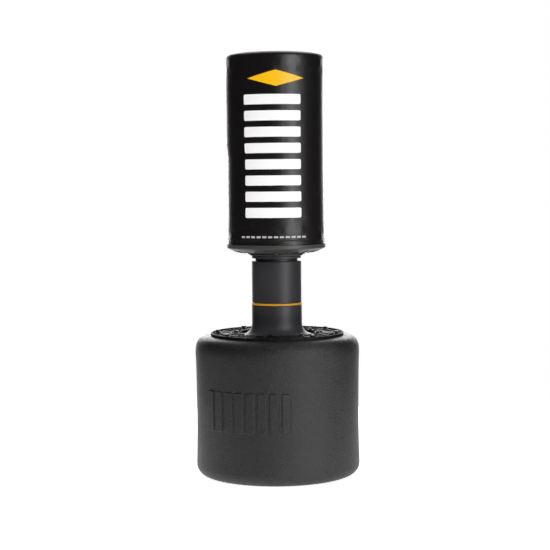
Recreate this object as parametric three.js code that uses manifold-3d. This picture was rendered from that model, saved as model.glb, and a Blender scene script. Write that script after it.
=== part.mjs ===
// Free-standing heavy punch bag: a ballast tank, a flexible ring, a two-piece neck and a padded bag.
//
// Millimetres, +Z up, -Y is the front. The origin is the centre of the tank's foot, on the floor.
// The neck's foot hangs in the flexible ring, which is bolted to the tank outside and to the neck
// inside, so the neck and the bag can sway. The bag screws onto the neck's coarse thread.

import * as THREE from 'three';
import { mergeVertices } from 'three/addons/utils/BufferGeometryUtils.js';
import Module from 'manifold-3d';

const wasm = await Module();
wasm.setup();

// ---------------------------------------------------------------- driving dimensions

const TOTAL_HEIGHT = 1588;
const GAP = 0.3; // between pieces that touch

// Ballast tank
const TANK_RADIUS = 312; // at the shoulder
const TANK_HEIGHT = 530;
const TANK_WALL = 6;
const TANK_WAIST_INSET = 3.5; // how far the side draws in at mid height
const TANK_FOOT_INSET = 1;
const FOOT_FILLET = 41;
const FOOT_RING_WIDTH = 45;
const FOOT_RECESS = 10;
const SHOULDER_DROP = 66;
const SEAT_MARGIN = 1; // how far the shoulder's curve begins inside the ring's edge
const SHOULDER_POWER = 0.72; // below 1 makes the shoulder fuller than an ellipse

// Neck. Its radius drives the ring, the flange, the thread and the bag's core.
const NECK_UPPER_RADIUS = 93.5;
const NECK_STEP = 1.2; // how much wider the lower piece is
const NECK_WALL = 6;
const NECK_LOWER_LENGTH = 116; // from the tank's top to the accent ring
const NECK_UPPER_LENGTH = 166; // from there to the shoulder where the thread begins
const NECK_SHOULDER_WIDTH = 13;
const FLARE_HEIGHT = 46;
const FLARE_WIDTH = 50.3;
const SPIGOT_LENGTH = 60;
const SPIGOT_CLEARANCE = 0.5;
const ACCENT_RING_HEIGHT = 7.6;
const ACCENT_RING_PROUD = 1.5;

// Flexible ring, from the neck's flare outwards
const NECK_BOLT_INSET = 12; // from the ring's inner edge to the inner bolts
const FLANGE_MARGIN = 15; // from the inner bolts to the flange's edge
const FLANGE_ROOM = 18; // round the flange, for the sway
const TANK_BOLT_INSET = 39.5; // from the well's edge to the outer bolts
const RING_MARGIN = 23.5; // from the outer bolts to the ring's edge
const RING_FLOOR = 5;
const RING_RIM_HEIGHT = 10.5;
const RING_RIM_WIDTH = 7;
const RING_RIB_HEIGHT = 9;
const RING_RIB_WIDTH = 5;
const RING_WEB_WIDTH = 31; // the part that flexes, between the two round ribs
const RADIAL_RIB_WIDTH = 12;
const RADIAL_RIB_HEIGHT = 8;

// Bolts of the ring
const BOLT_COUNT = 8;
const BOLT_FIRST_ANGLE = -10; // degrees from the front, towards +X
const TANK_BOLT_RADIUS = 5;
const TANK_BOLT_GRIP = 20; // thread below the tank's top
const NECK_BOLT_RADIUS = 4;
const HOLE_CLEARANCE = 0.8;
const THREAD_CLEARANCE = 0.3;
const BOSS_MARGIN = 3; // of the ring's boss round a bolt's flange
const BOSS_HEIGHT = 1; // above the ring's floor
const INSERT_WALL = 3;
const INSERT_LENGTH = 24;

// Well under the ring, and the foot of the neck in it
const WELL_DEPTH = 50;
const FLANGE_THICKNESS = 8;
const BACKING_RING_WIDTH = 22;
const BACKING_RING_THICKNESS = 6;

// Thread between the neck and the bag
const THREAD_PITCH = 16;
const THREAD_DEPTH = 5;
const THREAD_ROOM = 1.5; // between a crest and the other piece's root
const RIDGE_BASE_WIDTH = 7;
const RIDGE_CREST_WIDTH = 4;
const RIDGE_SINK = 2; // how far a ridge is sunk in its tube
const THREADED_LENGTH = 78;
const NECK_THREAD_START = 19; // above the neck's shoulder
const CORE_THREAD_START = 16; // above the collar's mouth
const SEAT_WASHER_THICKNESS = 6;

// Bag
const BAG_RADIUS = 183.5;
const BAG_WAIST_INSET = 3;
const BAG_TOP_FILLET = 22;
const COVER_THICKNESS = 2.5;
const TOP_PANEL_MARGIN = 26; // from the bag's side to the top seam
const TOP_PAD_THICKNESS = 36;
const CORE_SOCKET_WALL = 13; // round the thread
const CORE_WALL = 5.5;
const CORE_FLANGE_WIDTH = 40;
const CORE_FLANGE_THICKNESS = 6;
const COLLAR_GROOVE = 11; // open height between the neck's shoulder and the collar
const COLLAR_LIP_WALL = 6.5;
const COLLAR_LIP_HEIGHT = 8;
const COLLAR_WAIST_WALL = 4;
const PLATE_PROUD = 3.8; // of the cover
const PLATE_BAND_HEIGHT = 14;
const PLATE_BAND_WIDTH = 9;
const PLATE_WALL = 4;
const PLATE_DISH = 20; // from the band's lower edge down to the hub
const PLATE_HOLE_CLEARANCE = 0.5;
const PLATE_SCREW_COUNT = 6;
const PLATE_SCREW_RADIUS = 2.5;

// Fill opening in the back of the tank
const FILL_DROP = 130; // below the tank's top
const FILL_BORE_RADIUS = 23;
const FILL_CLEARANCE = 0.6;
const FILL_POCKET_RADIUS = 40;
const FILL_POCKET_DEPTH = 15;
const FILL_BOSS_WALL = 6;
const FILL_BOSS_LENGTH = 44;
const PLUG_FLANGE_RADIUS = 33;
const PLUG_FLANGE_THICKNESS = 4;
const PLUG_SHANK_LENGTH = 30;
const PLUG_GRIP = { length: 50, width: 11, height: 5 };
const GASKET_RADIUS = 31;
const GASKET_THICKNESS = 2.5;

// Facets
const TANK_FACETS = 40;
const BAG_FACETS = 32;
const SMALL_FACETS = 8;
const RIDGE_FACETS = 24; // in each turn of a thread
const PLUG_FACETS = 20;

// ---------------------------------------------------------------- sizes that follow

const NECK_LOWER_RADIUS = NECK_UPPER_RADIUS + NECK_STEP;
const RING_INNER_RADIUS = NECK_LOWER_RADIUS + FLARE_WIDTH;
const NECK_BOLT_CIRCLE = RING_INNER_RADIUS + NECK_BOLT_INSET;
const FLANGE_RADIUS = NECK_BOLT_CIRCLE + FLANGE_MARGIN;
const WELL_RADIUS = FLANGE_RADIUS + FLANGE_ROOM;
const TANK_BOLT_CIRCLE = WELL_RADIUS + TANK_BOLT_INSET;
const RING_OUTER_RADIUS = TANK_BOLT_CIRCLE + RING_MARGIN;
const SEAT_RADIUS = RING_OUTER_RADIUS - SEAT_MARGIN;
const FILL_HEIGHT = TANK_HEIGHT - FILL_DROP;
const RING_BOTTOM = TANK_HEIGHT + GAP;
const WEB_MIDDLE_RADIUS = WELL_RADIUS + RING_RIB_WIDTH;
const FLANGE_BOTTOM = TANK_HEIGHT - FLANGE_THICKNESS;
const THREAD_ROOT_RADIUS = NECK_UPPER_RADIUS - NECK_SHOULDER_WIDTH;
const NECK_BORE_RADIUS = THREAD_ROOT_RADIUS - NECK_WALL;
const NECK_SPLIT_HEIGHT = TANK_HEIGHT + NECK_LOWER_LENGTH;
const NECK_SHOULDER_HEIGHT = NECK_SPLIT_HEIGHT + NECK_UPPER_LENGTH;
const NECK_TOP = NECK_SHOULDER_HEIGHT + THREADED_LENGTH;
const CORE_BORE_RADIUS = THREAD_ROOT_RADIUS + THREAD_DEPTH + THREAD_ROOM;
const CORE_RADIUS = CORE_BORE_RADIUS + CORE_SOCKET_WALL;
const COLLAR_LIP_RADIUS = CORE_BORE_RADIUS + COLLAR_LIP_WALL;
const COLLAR_WAIST_RADIUS = CORE_BORE_RADIUS + COLLAR_WAIST_WALL;
const PLATE_RADIUS = BAG_RADIUS + PLATE_PROUD;
const COLLAR_BOTTOM = NECK_SHOULDER_HEIGHT + COLLAR_GROOVE;
const LEDGE_BOTTOM = NECK_TOP + SEAT_WASHER_THICKNESS + 2 * GAP;
const PLATE_HOLE_RADIUS = CORE_RADIUS + PLATE_HOLE_CLEARANCE;
const PLATE_BOTTOM = COLLAR_BOTTOM + 2 * COLLAR_LIP_HEIGHT + PLATE_WALL;
const PLATE_BAND_BOTTOM = PLATE_BOTTOM + PLATE_DISH;
const PLATE_TOP = PLATE_BAND_BOTTOM + PLATE_BAND_HEIGHT;
const PLATE_FLOOR = PLATE_BOTTOM + 2 * PLATE_WALL;
const CORE_FLANGE_BOTTOM = PLATE_FLOOR + GAP;
const CORE_FLANGE_TOP = CORE_FLANGE_BOTTOM + CORE_FLANGE_THICKNESS;
const CORE_FLANGE_RADIUS = CORE_RADIUS + CORE_FLANGE_WIDTH;
const PLATE_SCREW_CIRCLE = CORE_RADIUS + CORE_FLANGE_WIDTH / 2;
const COVER_BOTTOM = PLATE_TOP + GAP;
const TOP_SEAM_RADIUS = BAG_RADIUS - TOP_PANEL_MARGIN;
const PAD_BOTTOM = TOTAL_HEIGHT - COVER_THICKNESS - GAP - TOP_PAD_THICKNESS;
const CORE_TOP = PAD_BOTTOM - GAP;

// ---------------------------------------------------------------- solids

// Joins equal corners and drops the empty triangles that a lathe leaves on its axis.
function solidOf(geometry) {
  geometry.deleteAttribute('normal');
  geometry.deleteAttribute('uv');
  const merged = mergeVertices(geometry, 1e-3);
  const index = merged.index.array;
  const kept = [];
  for (let i = 0; i < index.length; i += 3) {
    const [a, b, c] = [index[i], index[i + 1], index[i + 2]];
    if (a !== b && b !== c && c !== a) {
      kept.push(a, b, c);
    }
  }
  const mesh = new wasm.Mesh({
    numProp: 3,
    vertProperties: new Float32Array(merged.attributes.position.array),
    triVerts: new Uint32Array(kept),
  });
  mesh.merge();
  return new wasm.Manifold(mesh);
}

function geometryOf(solid) {
  const mesh = solid.getMesh();
  const geometry = new THREE.BufferGeometry();
  geometry.setAttribute('position', new THREE.BufferAttribute(mesh.vertProperties, 3));
  geometry.setIndex(new THREE.BufferAttribute(mesh.triVerts, 1));
  geometry.computeVertexNormals();
  return geometry;
}

// Turns an anticlockwise outline of [radius, height] points about +Z.
function turned(outline, facets) {
  const points = outline.map(([radius, height]) => new THREE.Vector2(radius, height));
  return solidOf(new THREE.LatheGeometry(points, facets).rotateX(Math.PI / 2));
}

// A closed outline, for a solid with a hole along its axis.
function turnedRing(outline, facets) {
  return turned([...outline, outline[0]], facets);
}

function tube(inner, outer, bottom, top, facets) {
  return turnedRing([[inner, bottom], [outer, bottom], [outer, top], [inner, top]], facets);
}

function rod(radius, bottom, top, facets) {
  const geometry = new THREE.CylinderGeometry(radius, radius, top - bottom, facets);
  return solidOf(geometry.rotateX(Math.PI / 2).translate(0, 0, (top + bottom) / 2));
}

function block(width, depth, bottom, top) {
  const geometry = new THREE.BoxGeometry(width, depth, top - bottom);
  return solidOf(geometry.translate(0, 0, (top + bottom) / 2));
}

// Points on a quarter ellipse from the angle start to the angle end, in degrees.
function arc(centreRadius, centreHeight, halfWidth, halfHeight, start, end, steps, power = 1) {
  const bent = (value) => Math.sign(value) * Math.abs(value) ** power;
  return Array.from({ length: steps + 1 }, (_, i) => {
    const angle = THREE.MathUtils.degToRad(start + ((end - start) * i) / steps);
    return [
      centreRadius + halfWidth * bent(Math.cos(angle)),
      centreHeight + halfHeight * bent(Math.sin(angle)),
    ];
  });
}

// The place at a radius and an angle from the front, in degrees, towards +X.
function around(radius, degrees) {
  const angle = THREE.MathUtils.degToRad(degrees);
  return [radius * Math.sin(angle), -radius * Math.cos(angle)];
}

function spread(count, firstAngle) {
  return Array.from({ length: count }, (_, i) => firstAngle + (360 * i) / count);
}

// A ridge that winds down from topHeight to endHeight as a right-hand thread. The bar is extruded
// straight, with x as its radius and y as its height, and then bent round the axis.
function threadRidge(rootRadius, crestRadius, topHeight, endHeight) {
  const turns = (topHeight - endHeight) / THREAD_PITCH;
  const sunk = rootRadius - Math.sign(crestRadius - rootRadius) * RIDGE_SINK;
  const corners = [
    [sunk, -RIDGE_BASE_WIDTH / 2],
    [crestRadius, -RIDGE_CREST_WIDTH / 2],
    [crestRadius, RIDGE_CREST_WIDTH / 2],
    [sunk, RIDGE_BASE_WIDTH / 2],
  ];
  const section = new THREE.Shape(corners.map(([x, y]) => new THREE.Vector2(x, y)));
  const bar = new THREE.ExtrudeGeometry(section, {
    depth: turns,
    steps: Math.round(turns * RIDGE_FACETS),
    bevelEnabled: false,
  });
  const position = bar.attributes.position;
  for (let i = 0; i < position.count; i += 1) {
    const angle = -2 * Math.PI * position.getZ(i);
    const height = topHeight + position.getY(i) - THREAD_PITCH * position.getZ(i);
    const radius = position.getX(i);
    position.setXYZ(i, radius * Math.cos(angle), radius * Math.sin(angle), height);
  }
  return solidOf(bar);
}

// ---------------------------------------------------------------- the assembly

const bag = new THREE.Group();

const finishes = {
  tankPlastic: { color: '#454448', roughness: 0.62, metalness: 0 },
  neckPlastic: { color: '#38373b', roughness: 0.5, metalness: 0 },
  ringPlastic: { color: '#161616', roughness: 0.35, metalness: 0 },
  accentPlastic: { color: '#e0a526', roughness: 0.45, metalness: 0 },
  coverLeather: { color: '#1c1819', roughness: 0.4, metalness: 0 },
  platePlastic: { color: '#3f3f3e', roughness: 0.5, metalness: 0 },
  corePlastic: { color: '#2b2b2d', roughness: 0.6, metalness: 0 },
  foam: { color: '#8d8f92', roughness: 0.95, metalness: 0 },
  rubber: { color: '#1a1a1b', roughness: 0.8, metalness: 0 },
  blackSteel: { color: '#1b1b1c', roughness: 0.4, metalness: 0.9 },
  zincSteel: { color: '#a7a9ab', roughness: 0.35, metalness: 1 },
  brass: { color: '#b5923f', roughness: 0.35, metalness: 1 },
};

function addPiece(name, solid, finish, parent = bag) {
  const piece = new THREE.Mesh(geometryOf(solid), new THREE.MeshStandardMaterial(finish));
  piece.name = name;
  parent.add(piece);
  return piece;
}

// ---------------------------------------------------------------- ballast tank

// The outside, or the hollow when it is drawn in by the wall. The side draws in a little at
// mid height, and the shoulder is a full curve up to the flat top.
function tankOutline(wall) {
  const footRadius = TANK_RADIUS - TANK_FOOT_INSET - wall;
  const fillet = FOOT_FILLET - wall;
  const recessRadius = TANK_RADIUS - FOOT_FILLET - FOOT_RING_WIDTH;
  const sideBottom = FOOT_FILLET;
  const sideTop = TANK_HEIGHT - SHOULDER_DROP;
  const side = (wall > 0 ? [0.5] : [0.25, 0.5, 0.75]).map((share) => {
    const drawnIn = TANK_WAIST_INSET * 4 * share * (1 - share);
    const lean = TANK_FOOT_INSET * (1 - share);
    return [TANK_RADIUS - wall - drawnIn - lean, sideBottom + (sideTop - sideBottom) * share];
  });
  const shoulderSteps = wall > 0 ? 3 : 7;
  const footSteps = wall > 0 ? 2 : 4;
  return [
    [0, FOOT_RECESS + wall],
    [recessRadius, FOOT_RECESS + wall],
    [recessRadius + FOOT_RECESS, wall],
    ...arc(footRadius - fillet, wall + fillet, fillet, fillet, -90, 0, footSteps),
    ...side,
    ...arc(
      SEAT_RADIUS, sideTop, TANK_RADIUS - SEAT_RADIUS - wall, SHOULDER_DROP - wall,
      0, 90, shoulderSteps, SHOULDER_POWER,
    ),
    [WELL_RADIUS + wall, TANK_HEIGHT - wall],
    [WELL_RADIUS + wall, TANK_HEIGHT - WELL_DEPTH - wall],
    [0, TANK_HEIGHT - WELL_DEPTH - wall],
  ];
}

const insertOuterRadius = TANK_BOLT_RADIUS + THREAD_CLEARANCE + INSERT_WALL;
const insertBottom = TANK_HEIGHT - GAP - INSERT_LENGTH;
const fillFloor = TANK_RADIUS - FILL_POCKET_DEPTH;

// Lays a solid made about +Z along +Y at the fill opening's height.
function atFillOpening(solid) {
  return solid.rotate([-90, 0, 0]).translate([0, 0, FILL_HEIGHT]);
}

function makeTank() {
  const outside = tankOutline(0);
  const hollow = tankOutline(TANK_WALL);
  let tank = turned(outside, TANK_FACETS).subtract(turned(hollow, TANK_FACETS));
  for (const angle of spread(BOLT_COUNT, BOLT_FIRST_ANGLE)) {
    const place = [...around(TANK_BOLT_CIRCLE, angle), 0];
    const pocketRadius = insertOuterRadius + GAP;
    const boss = rod(
      pocketRadius + TANK_WALL, insertBottom - 2 * TANK_WALL, TANK_HEIGHT - TANK_WALL / 2, SMALL_FACETS,
    );
    const pocket = rod(pocketRadius, insertBottom - GAP, TANK_HEIGHT + 1, SMALL_FACETS);
    tank = tank.add(boss.translate(place)).subtract(pocket.translate(place));
  }
  const bossEnd = TANK_RADIUS - TANK_WALL;
  const bossRadius = FILL_POCKET_RADIUS + FILL_BOSS_WALL;
  const fillBoss = rod(bossRadius, bossEnd - FILL_BOSS_LENGTH, bossEnd, PLUG_FACETS);
  const fillPocket = rod(FILL_POCKET_RADIUS, fillFloor, TANK_RADIUS + TANK_WALL, PLUG_FACETS);
  const fillBore = rod(
    FILL_BORE_RADIUS, bossEnd - FILL_BOSS_LENGTH - 1, fillFloor + 1, PLUG_FACETS,
  );
  return tank
    .add(atFillOpening(fillBoss))
    .subtract(atFillOpening(fillPocket))
    .subtract(atFillOpening(fillBore));
}

addPiece('base_tank', makeTank(), finishes.tankPlastic);

spread(BOLT_COUNT, BOLT_FIRST_ANGLE).forEach((angle, i) => {
  const bore = TANK_BOLT_RADIUS + THREAD_CLEARANCE;
  const insert = tube(bore, insertOuterRadius, insertBottom, TANK_HEIGHT - GAP, SMALL_FACETS);
  const piece = addPiece(`ring_insert_${i + 1}`, insert, finishes.brass);
  piece.position.set(...around(TANK_BOLT_CIRCLE, angle), 0);
});

// ---------------------------------------------------------------- fill plug and its gasket

function makePlug() {
  const flangeBottom = fillFloor + GASKET_THICKNESS + 2 * GAP;
  const flangeTop = flangeBottom + PLUG_FLANGE_THICKNESS;
  const shankRadius = FILL_BORE_RADIUS - FILL_CLEARANCE;
  const shank = rod(shankRadius, flangeBottom - PLUG_SHANK_LENGTH, flangeBottom + 1, PLUG_FACETS);
  const flange = rod(PLUG_FLANGE_RADIUS, flangeBottom, flangeTop, PLUG_FACETS);
  const grip = block(PLUG_GRIP.length, PLUG_GRIP.width, flangeTop - 1, flangeTop + PLUG_GRIP.height);
  return flange.add(shank).add(grip);
}

const fillGasket = tube(
  FILL_BORE_RADIUS, GASKET_RADIUS, fillFloor + GAP, fillFloor + GAP + GASKET_THICKNESS, PLUG_FACETS,
);
addPiece('plug_gasket', atFillOpening(fillGasket), finishes.rubber);
addPiece('fill_plug', atFillOpening(makePlug()), finishes.ringPlastic);

// ---------------------------------------------------------------- flexible ring

const tankBoltFlange = 2.3 * TANK_BOLT_RADIUS;
const neckBoltFlange = 2.3 * NECK_BOLT_RADIUS;
const boltSeat = RING_BOTTOM + RING_FLOOR + BOSS_HEIGHT + GAP;

function makeRing() {
  const floor = RING_BOTTOM + RING_FLOOR;
  const ribTop = RING_BOTTOM + RING_RIB_HEIGHT;
  const rimTop = RING_BOTTOM + RING_RIM_HEIGHT;
  const outerRib = WEB_MIDDLE_RADIUS + RING_WEB_WIDTH / 2;
  const innerRib = WEB_MIDDLE_RADIUS - RING_WEB_WIDTH / 2;
  const disc = turnedRing([
    [RING_INNER_RADIUS, RING_BOTTOM], [RING_OUTER_RADIUS, RING_BOTTOM],
    [RING_OUTER_RADIUS, rimTop], [RING_OUTER_RADIUS - RING_RIM_WIDTH, rimTop],
    [RING_OUTER_RADIUS - RING_RIM_WIDTH, floor],
    [outerRib + RING_RIB_WIDTH, floor], [outerRib + RING_RIB_WIDTH, ribTop],
    [outerRib, ribTop], [outerRib, floor],
    [innerRib, floor], [innerRib, ribTop],
    [innerRib - RING_RIB_WIDTH, ribTop], [innerRib - RING_RIB_WIDTH, floor],
    [RING_INNER_RADIUS + RING_RIB_WIDTH, floor], [RING_INNER_RADIUS + RING_RIB_WIDTH, ribTop],
    [RING_INNER_RADIUS, ribTop],
  ], TANK_FACETS);
  const bossTop = floor + BOSS_HEIGHT;
  let ring = disc;
  for (const angle of spread(BOLT_COUNT, BOLT_FIRST_ANGLE)) {
    const spokeLength = TANK_BOLT_CIRCLE - NECK_BOLT_CIRCLE;
    const spokeMiddle = around((TANK_BOLT_CIRCLE + NECK_BOLT_CIRCLE) / 2, angle);
    const spoke = block(
      RADIAL_RIB_WIDTH, spokeLength, RING_BOTTOM + RING_FLOOR / 2, RING_BOTTOM + RADIAL_RIB_HEIGHT,
    );
    ring = ring.add(spoke.rotate([0, 0, angle]).translate([...spokeMiddle, 0]));
    const bolts = [
      [TANK_BOLT_CIRCLE, TANK_BOLT_RADIUS, tankBoltFlange],
      [NECK_BOLT_CIRCLE, NECK_BOLT_RADIUS, neckBoltFlange],
    ];
    for (const [circle, radius, flange] of bolts) {
      const place = [...around(circle, angle), 0];
      const boss = rod(flange + BOSS_MARGIN, RING_BOTTOM + RING_FLOOR / 2, bossTop, SMALL_FACETS);
      const recess = rod(flange + BOSS_MARGIN, bossTop, rimTop + 1, SMALL_FACETS);
      const hole = rod(radius + HOLE_CLEARANCE, RING_BOTTOM - 1, rimTop + 1, SMALL_FACETS);
      ring = ring
        .add(boss.translate(place))
        .subtract(recess.translate(place))
        .subtract(hole.translate(place));
    }
  }
  return ring;
}

addPiece('flex_ring', makeRing(), finishes.ringPlastic);

// A hexagon head on a round flange, with the shank down to the height end.
function makeBolt(radius, flangeRadius, seat, end) {
  const flangeTop = seat + radius / 2;
  const headTop = seat + 2.1 * radius;
  const shank = rod(radius, end, seat + radius / 4, SMALL_FACETS);
  const flange = rod(flangeRadius, seat, flangeTop, SMALL_FACETS);
  const hexagon = rod(1.84 * radius, seat + radius / 4, headTop, 6);
  return flange.add(hexagon).add(shank);
}

spread(BOLT_COUNT, BOLT_FIRST_ANGLE).forEach((angle, i) => {
  const outer = makeBolt(TANK_BOLT_RADIUS, tankBoltFlange, boltSeat, TANK_HEIGHT - TANK_BOLT_GRIP);
  const piece = addPiece(`tank_bolt_${i + 1}`, outer, finishes.blackSteel);
  piece.position.set(...around(TANK_BOLT_CIRCLE, angle), 0);
});

// ---------------------------------------------------------------- neck

const neck = new THREE.Group();
bag.add(neck);

// The lower piece flares into the flange that the ring holds.
function makeLowerNeck() {
  const flareTop = TANK_HEIGHT + FLARE_HEIGHT;
  const inner = NECK_LOWER_RADIUS - NECK_WALL;
  const outside = arc(
    RING_INNER_RADIUS, flareTop, -FLARE_WIDTH, -FLARE_HEIGHT, 90, 0, 6,
  );
  const inside = arc(
    RING_INNER_RADIUS - NECK_WALL, flareTop, -FLARE_WIDTH, -(FLARE_HEIGHT + FLANGE_THICKNESS), 0, 90, 4,
  );
  let lower = turnedRing([
    [RING_INNER_RADIUS - NECK_WALL, FLANGE_BOTTOM], [FLANGE_RADIUS, FLANGE_BOTTOM],
    [FLANGE_RADIUS, TANK_HEIGHT],
    ...outside,
    [NECK_LOWER_RADIUS, NECK_SPLIT_HEIGHT], [inner, NECK_SPLIT_HEIGHT],
    ...inside.slice(0, -1),
  ], BAG_FACETS);
  for (const angle of spread(BOLT_COUNT, BOLT_FIRST_ANGLE)) {
    const hole = rod(NECK_BOLT_RADIUS + HOLE_CLEARANCE, FLANGE_BOTTOM - 1, TANK_HEIGHT + 1, SMALL_FACETS);
    lower = lower.subtract(hole.translate([...around(NECK_BOLT_CIRCLE, angle), 0]));
  }
  return lower;
}

function makeBackingRing() {
  const top = FLANGE_BOTTOM - GAP;
  const half = BACKING_RING_WIDTH / 2;
  let ring = tube(
    NECK_BOLT_CIRCLE - half, NECK_BOLT_CIRCLE + half, top - BACKING_RING_THICKNESS, top, BAG_FACETS,
  );
  for (const angle of spread(BOLT_COUNT, BOLT_FIRST_ANGLE)) {
    const hole = rod(NECK_BOLT_RADIUS + THREAD_CLEARANCE, FLANGE_BOTTOM - WELL_DEPTH, top + 1, SMALL_FACETS);
    ring = ring.subtract(hole.translate([...around(NECK_BOLT_CIRCLE, angle), 0]));
  }
  return ring;
}

// The upper piece stands on the accent ring, with a spigot inside the lower piece.
const upperNeckBottom = NECK_SPLIT_HEIGHT + ACCENT_RING_HEIGHT + 2 * GAP;
const spigotRadius = NECK_LOWER_RADIUS - NECK_WALL - SPIGOT_CLEARANCE;

function makeUpperNeck() {
  const spigotBottom = upperNeckBottom - SPIGOT_LENGTH;
  const inner = NECK_UPPER_RADIUS - NECK_WALL;
  const spigotInner = spigotRadius - NECK_WALL;
  const edge = 2; // rounding of the shoulder
  const tubeSolid = turnedRing([
    [spigotInner, spigotBottom], [spigotRadius, spigotBottom],
    [spigotRadius, upperNeckBottom], [NECK_UPPER_RADIUS, upperNeckBottom],
    [NECK_UPPER_RADIUS, NECK_SHOULDER_HEIGHT - edge],
    [NECK_UPPER_RADIUS - edge, NECK_SHOULDER_HEIGHT],
    [THREAD_ROOT_RADIUS, NECK_SHOULDER_HEIGHT],
    [THREAD_ROOT_RADIUS, NECK_TOP], [NECK_BORE_RADIUS, NECK_TOP],
    [NECK_BORE_RADIUS, NECK_SHOULDER_HEIGHT - NECK_WALL],
    [inner, NECK_SHOULDER_HEIGHT - 2 * NECK_WALL],
    [inner, upperNeckBottom + 2 * NECK_WALL], [spigotInner, upperNeckBottom + NECK_WALL],
  ], BAG_FACETS);
  const ridge = threadRidge(
    THREAD_ROOT_RADIUS, THREAD_ROOT_RADIUS + THREAD_DEPTH,
    NECK_TOP - RIDGE_BASE_WIDTH, NECK_SHOULDER_HEIGHT + NECK_THREAD_START,
  );
  return tubeSolid.add(ridge);
}

addPiece('neck_lower', makeLowerNeck(), finishes.neckPlastic, neck);
addPiece('flange_backing_ring', makeBackingRing(), finishes.zincSteel, neck);
spread(BOLT_COUNT, BOLT_FIRST_ANGLE).forEach((angle, i) => {
  const end = FLANGE_BOTTOM - GAP - 2 * BACKING_RING_THICKNESS;
  const piece = addPiece(
    `neck_bolt_${i + 1}`, makeBolt(NECK_BOLT_RADIUS, neckBoltFlange, boltSeat, end), finishes.blackSteel, neck,
  );
  piece.position.set(...around(NECK_BOLT_CIRCLE, angle), 0);
});
addPiece('accent_ring', tube(
  spigotRadius + SPIGOT_CLEARANCE, NECK_LOWER_RADIUS + ACCENT_RING_PROUD,
  NECK_SPLIT_HEIGHT + GAP, NECK_SPLIT_HEIGHT + GAP + ACCENT_RING_HEIGHT, BAG_FACETS,
), finishes.accentPlastic, neck);
addPiece('neck_upper', makeUpperNeck(), finishes.neckPlastic, neck);

// ---------------------------------------------------------------- bag

const upperBag = new THREE.Group();
neck.add(upperBag);

addPiece('seat_washer', tube(
  NECK_BORE_RADIUS, THREAD_ROOT_RADIUS + THREAD_DEPTH,
  NECK_TOP + GAP, NECK_TOP + GAP + SEAT_WASHER_THICKNESS, BAG_FACETS,
), finishes.rubber, upperBag);

// A closed tube with a threaded mouth. Two lips stand round the mouth below the plate, and the
// flange above the plate takes the plate's screws.
function makeCore() {
  const lipTop = COLLAR_BOTTOM + COLLAR_LIP_HEIGHT;
  const ledgeTop = LEDGE_BOTTOM + CORE_WALL;
  const inner = CORE_RADIUS - CORE_WALL;
  let core = turned([
    [0, CORE_TOP - CORE_WALL], [inner, CORE_TOP - CORE_WALL],
    [inner, ledgeTop + CORE_WALL], [NECK_BORE_RADIUS, ledgeTop],
    [NECK_BORE_RADIUS, LEDGE_BOTTOM], [CORE_BORE_RADIUS, LEDGE_BOTTOM],
    [CORE_BORE_RADIUS, COLLAR_BOTTOM], [COLLAR_LIP_RADIUS - 1, COLLAR_BOTTOM],
    [COLLAR_LIP_RADIUS, COLLAR_BOTTOM + 1], [COLLAR_LIP_RADIUS, lipTop - 1],
    [COLLAR_WAIST_RADIUS, lipTop], [COLLAR_WAIST_RADIUS, lipTop + 1],
    [CORE_RADIUS, lipTop + COLLAR_LIP_HEIGHT / 2],
    [CORE_RADIUS, CORE_FLANGE_BOTTOM], [CORE_FLANGE_RADIUS, CORE_FLANGE_BOTTOM],
    [CORE_FLANGE_RADIUS, CORE_FLANGE_TOP], [CORE_RADIUS, CORE_FLANGE_TOP],
    [CORE_RADIUS, CORE_TOP], [0, CORE_TOP],
  ], BAG_FACETS);
  // Half a pitch below the neck's ridge, so that each lies between the other's turns.
  const ridgeTop = NECK_TOP - RIDGE_BASE_WIDTH - THREAD_PITCH / 2;
  core = core.add(threadRidge(
    CORE_BORE_RADIUS, CORE_BORE_RADIUS - THREAD_DEPTH, ridgeTop, COLLAR_BOTTOM + CORE_THREAD_START,
  ));
  for (const angle of spread(PLATE_SCREW_COUNT, 0)) {
    const hole = rod(
      PLATE_SCREW_RADIUS + THREAD_CLEARANCE, CORE_FLANGE_BOTTOM - 1, CORE_FLANGE_TOP + 1, SMALL_FACETS,
    );
    core = core.subtract(hole.translate([...around(PLATE_SCREW_CIRCLE, angle), 0]));
  }
  return core;
}

// A shallow dish: flat inside round the core, with a band that shows below the cover.
function makePlate() {
  const bandInner = PLATE_RADIUS - PLATE_BAND_WIDTH;
  const edge = 2; // rounding of the band
  let plate = turnedRing([
    [PLATE_HOLE_RADIUS, PLATE_BOTTOM],
    [CORE_FLANGE_RADIUS, PLATE_BOTTOM + PLATE_WALL],
    [PLATE_RADIUS - 4 * PLATE_WALL, PLATE_BAND_BOTTOM - 2 * PLATE_WALL],
    [PLATE_RADIUS - edge, PLATE_BAND_BOTTOM], [PLATE_RADIUS, PLATE_BAND_BOTTOM + edge],
    [PLATE_RADIUS, PLATE_TOP - edge], [PLATE_RADIUS - edge, PLATE_TOP],
    [bandInner, PLATE_TOP], [bandInner, PLATE_BAND_BOTTOM],
    [CORE_FLANGE_RADIUS + PLATE_WALL, PLATE_FLOOR], [PLATE_HOLE_RADIUS, PLATE_FLOOR],
  ], BAG_FACETS);
  for (const angle of spread(PLATE_SCREW_COUNT, 0)) {
    const hole = rod(PLATE_SCREW_RADIUS + HOLE_CLEARANCE, PLATE_BOTTOM - 1, PLATE_FLOOR + 1, SMALL_FACETS);
    plate = plate.subtract(hole.translate([...around(PLATE_SCREW_CIRCLE, angle), 0]));
  }
  return plate;
}

function makePlateScrew() {
  const headTop = PLATE_BOTTOM - GAP;
  const head = rod(2 * PLATE_SCREW_RADIUS, headTop - PLATE_SCREW_RADIUS, headTop, SMALL_FACETS);
  return head.add(rod(PLATE_SCREW_RADIUS, headTop - 1, CORE_FLANGE_TOP, SMALL_FACETS));
}

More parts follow.
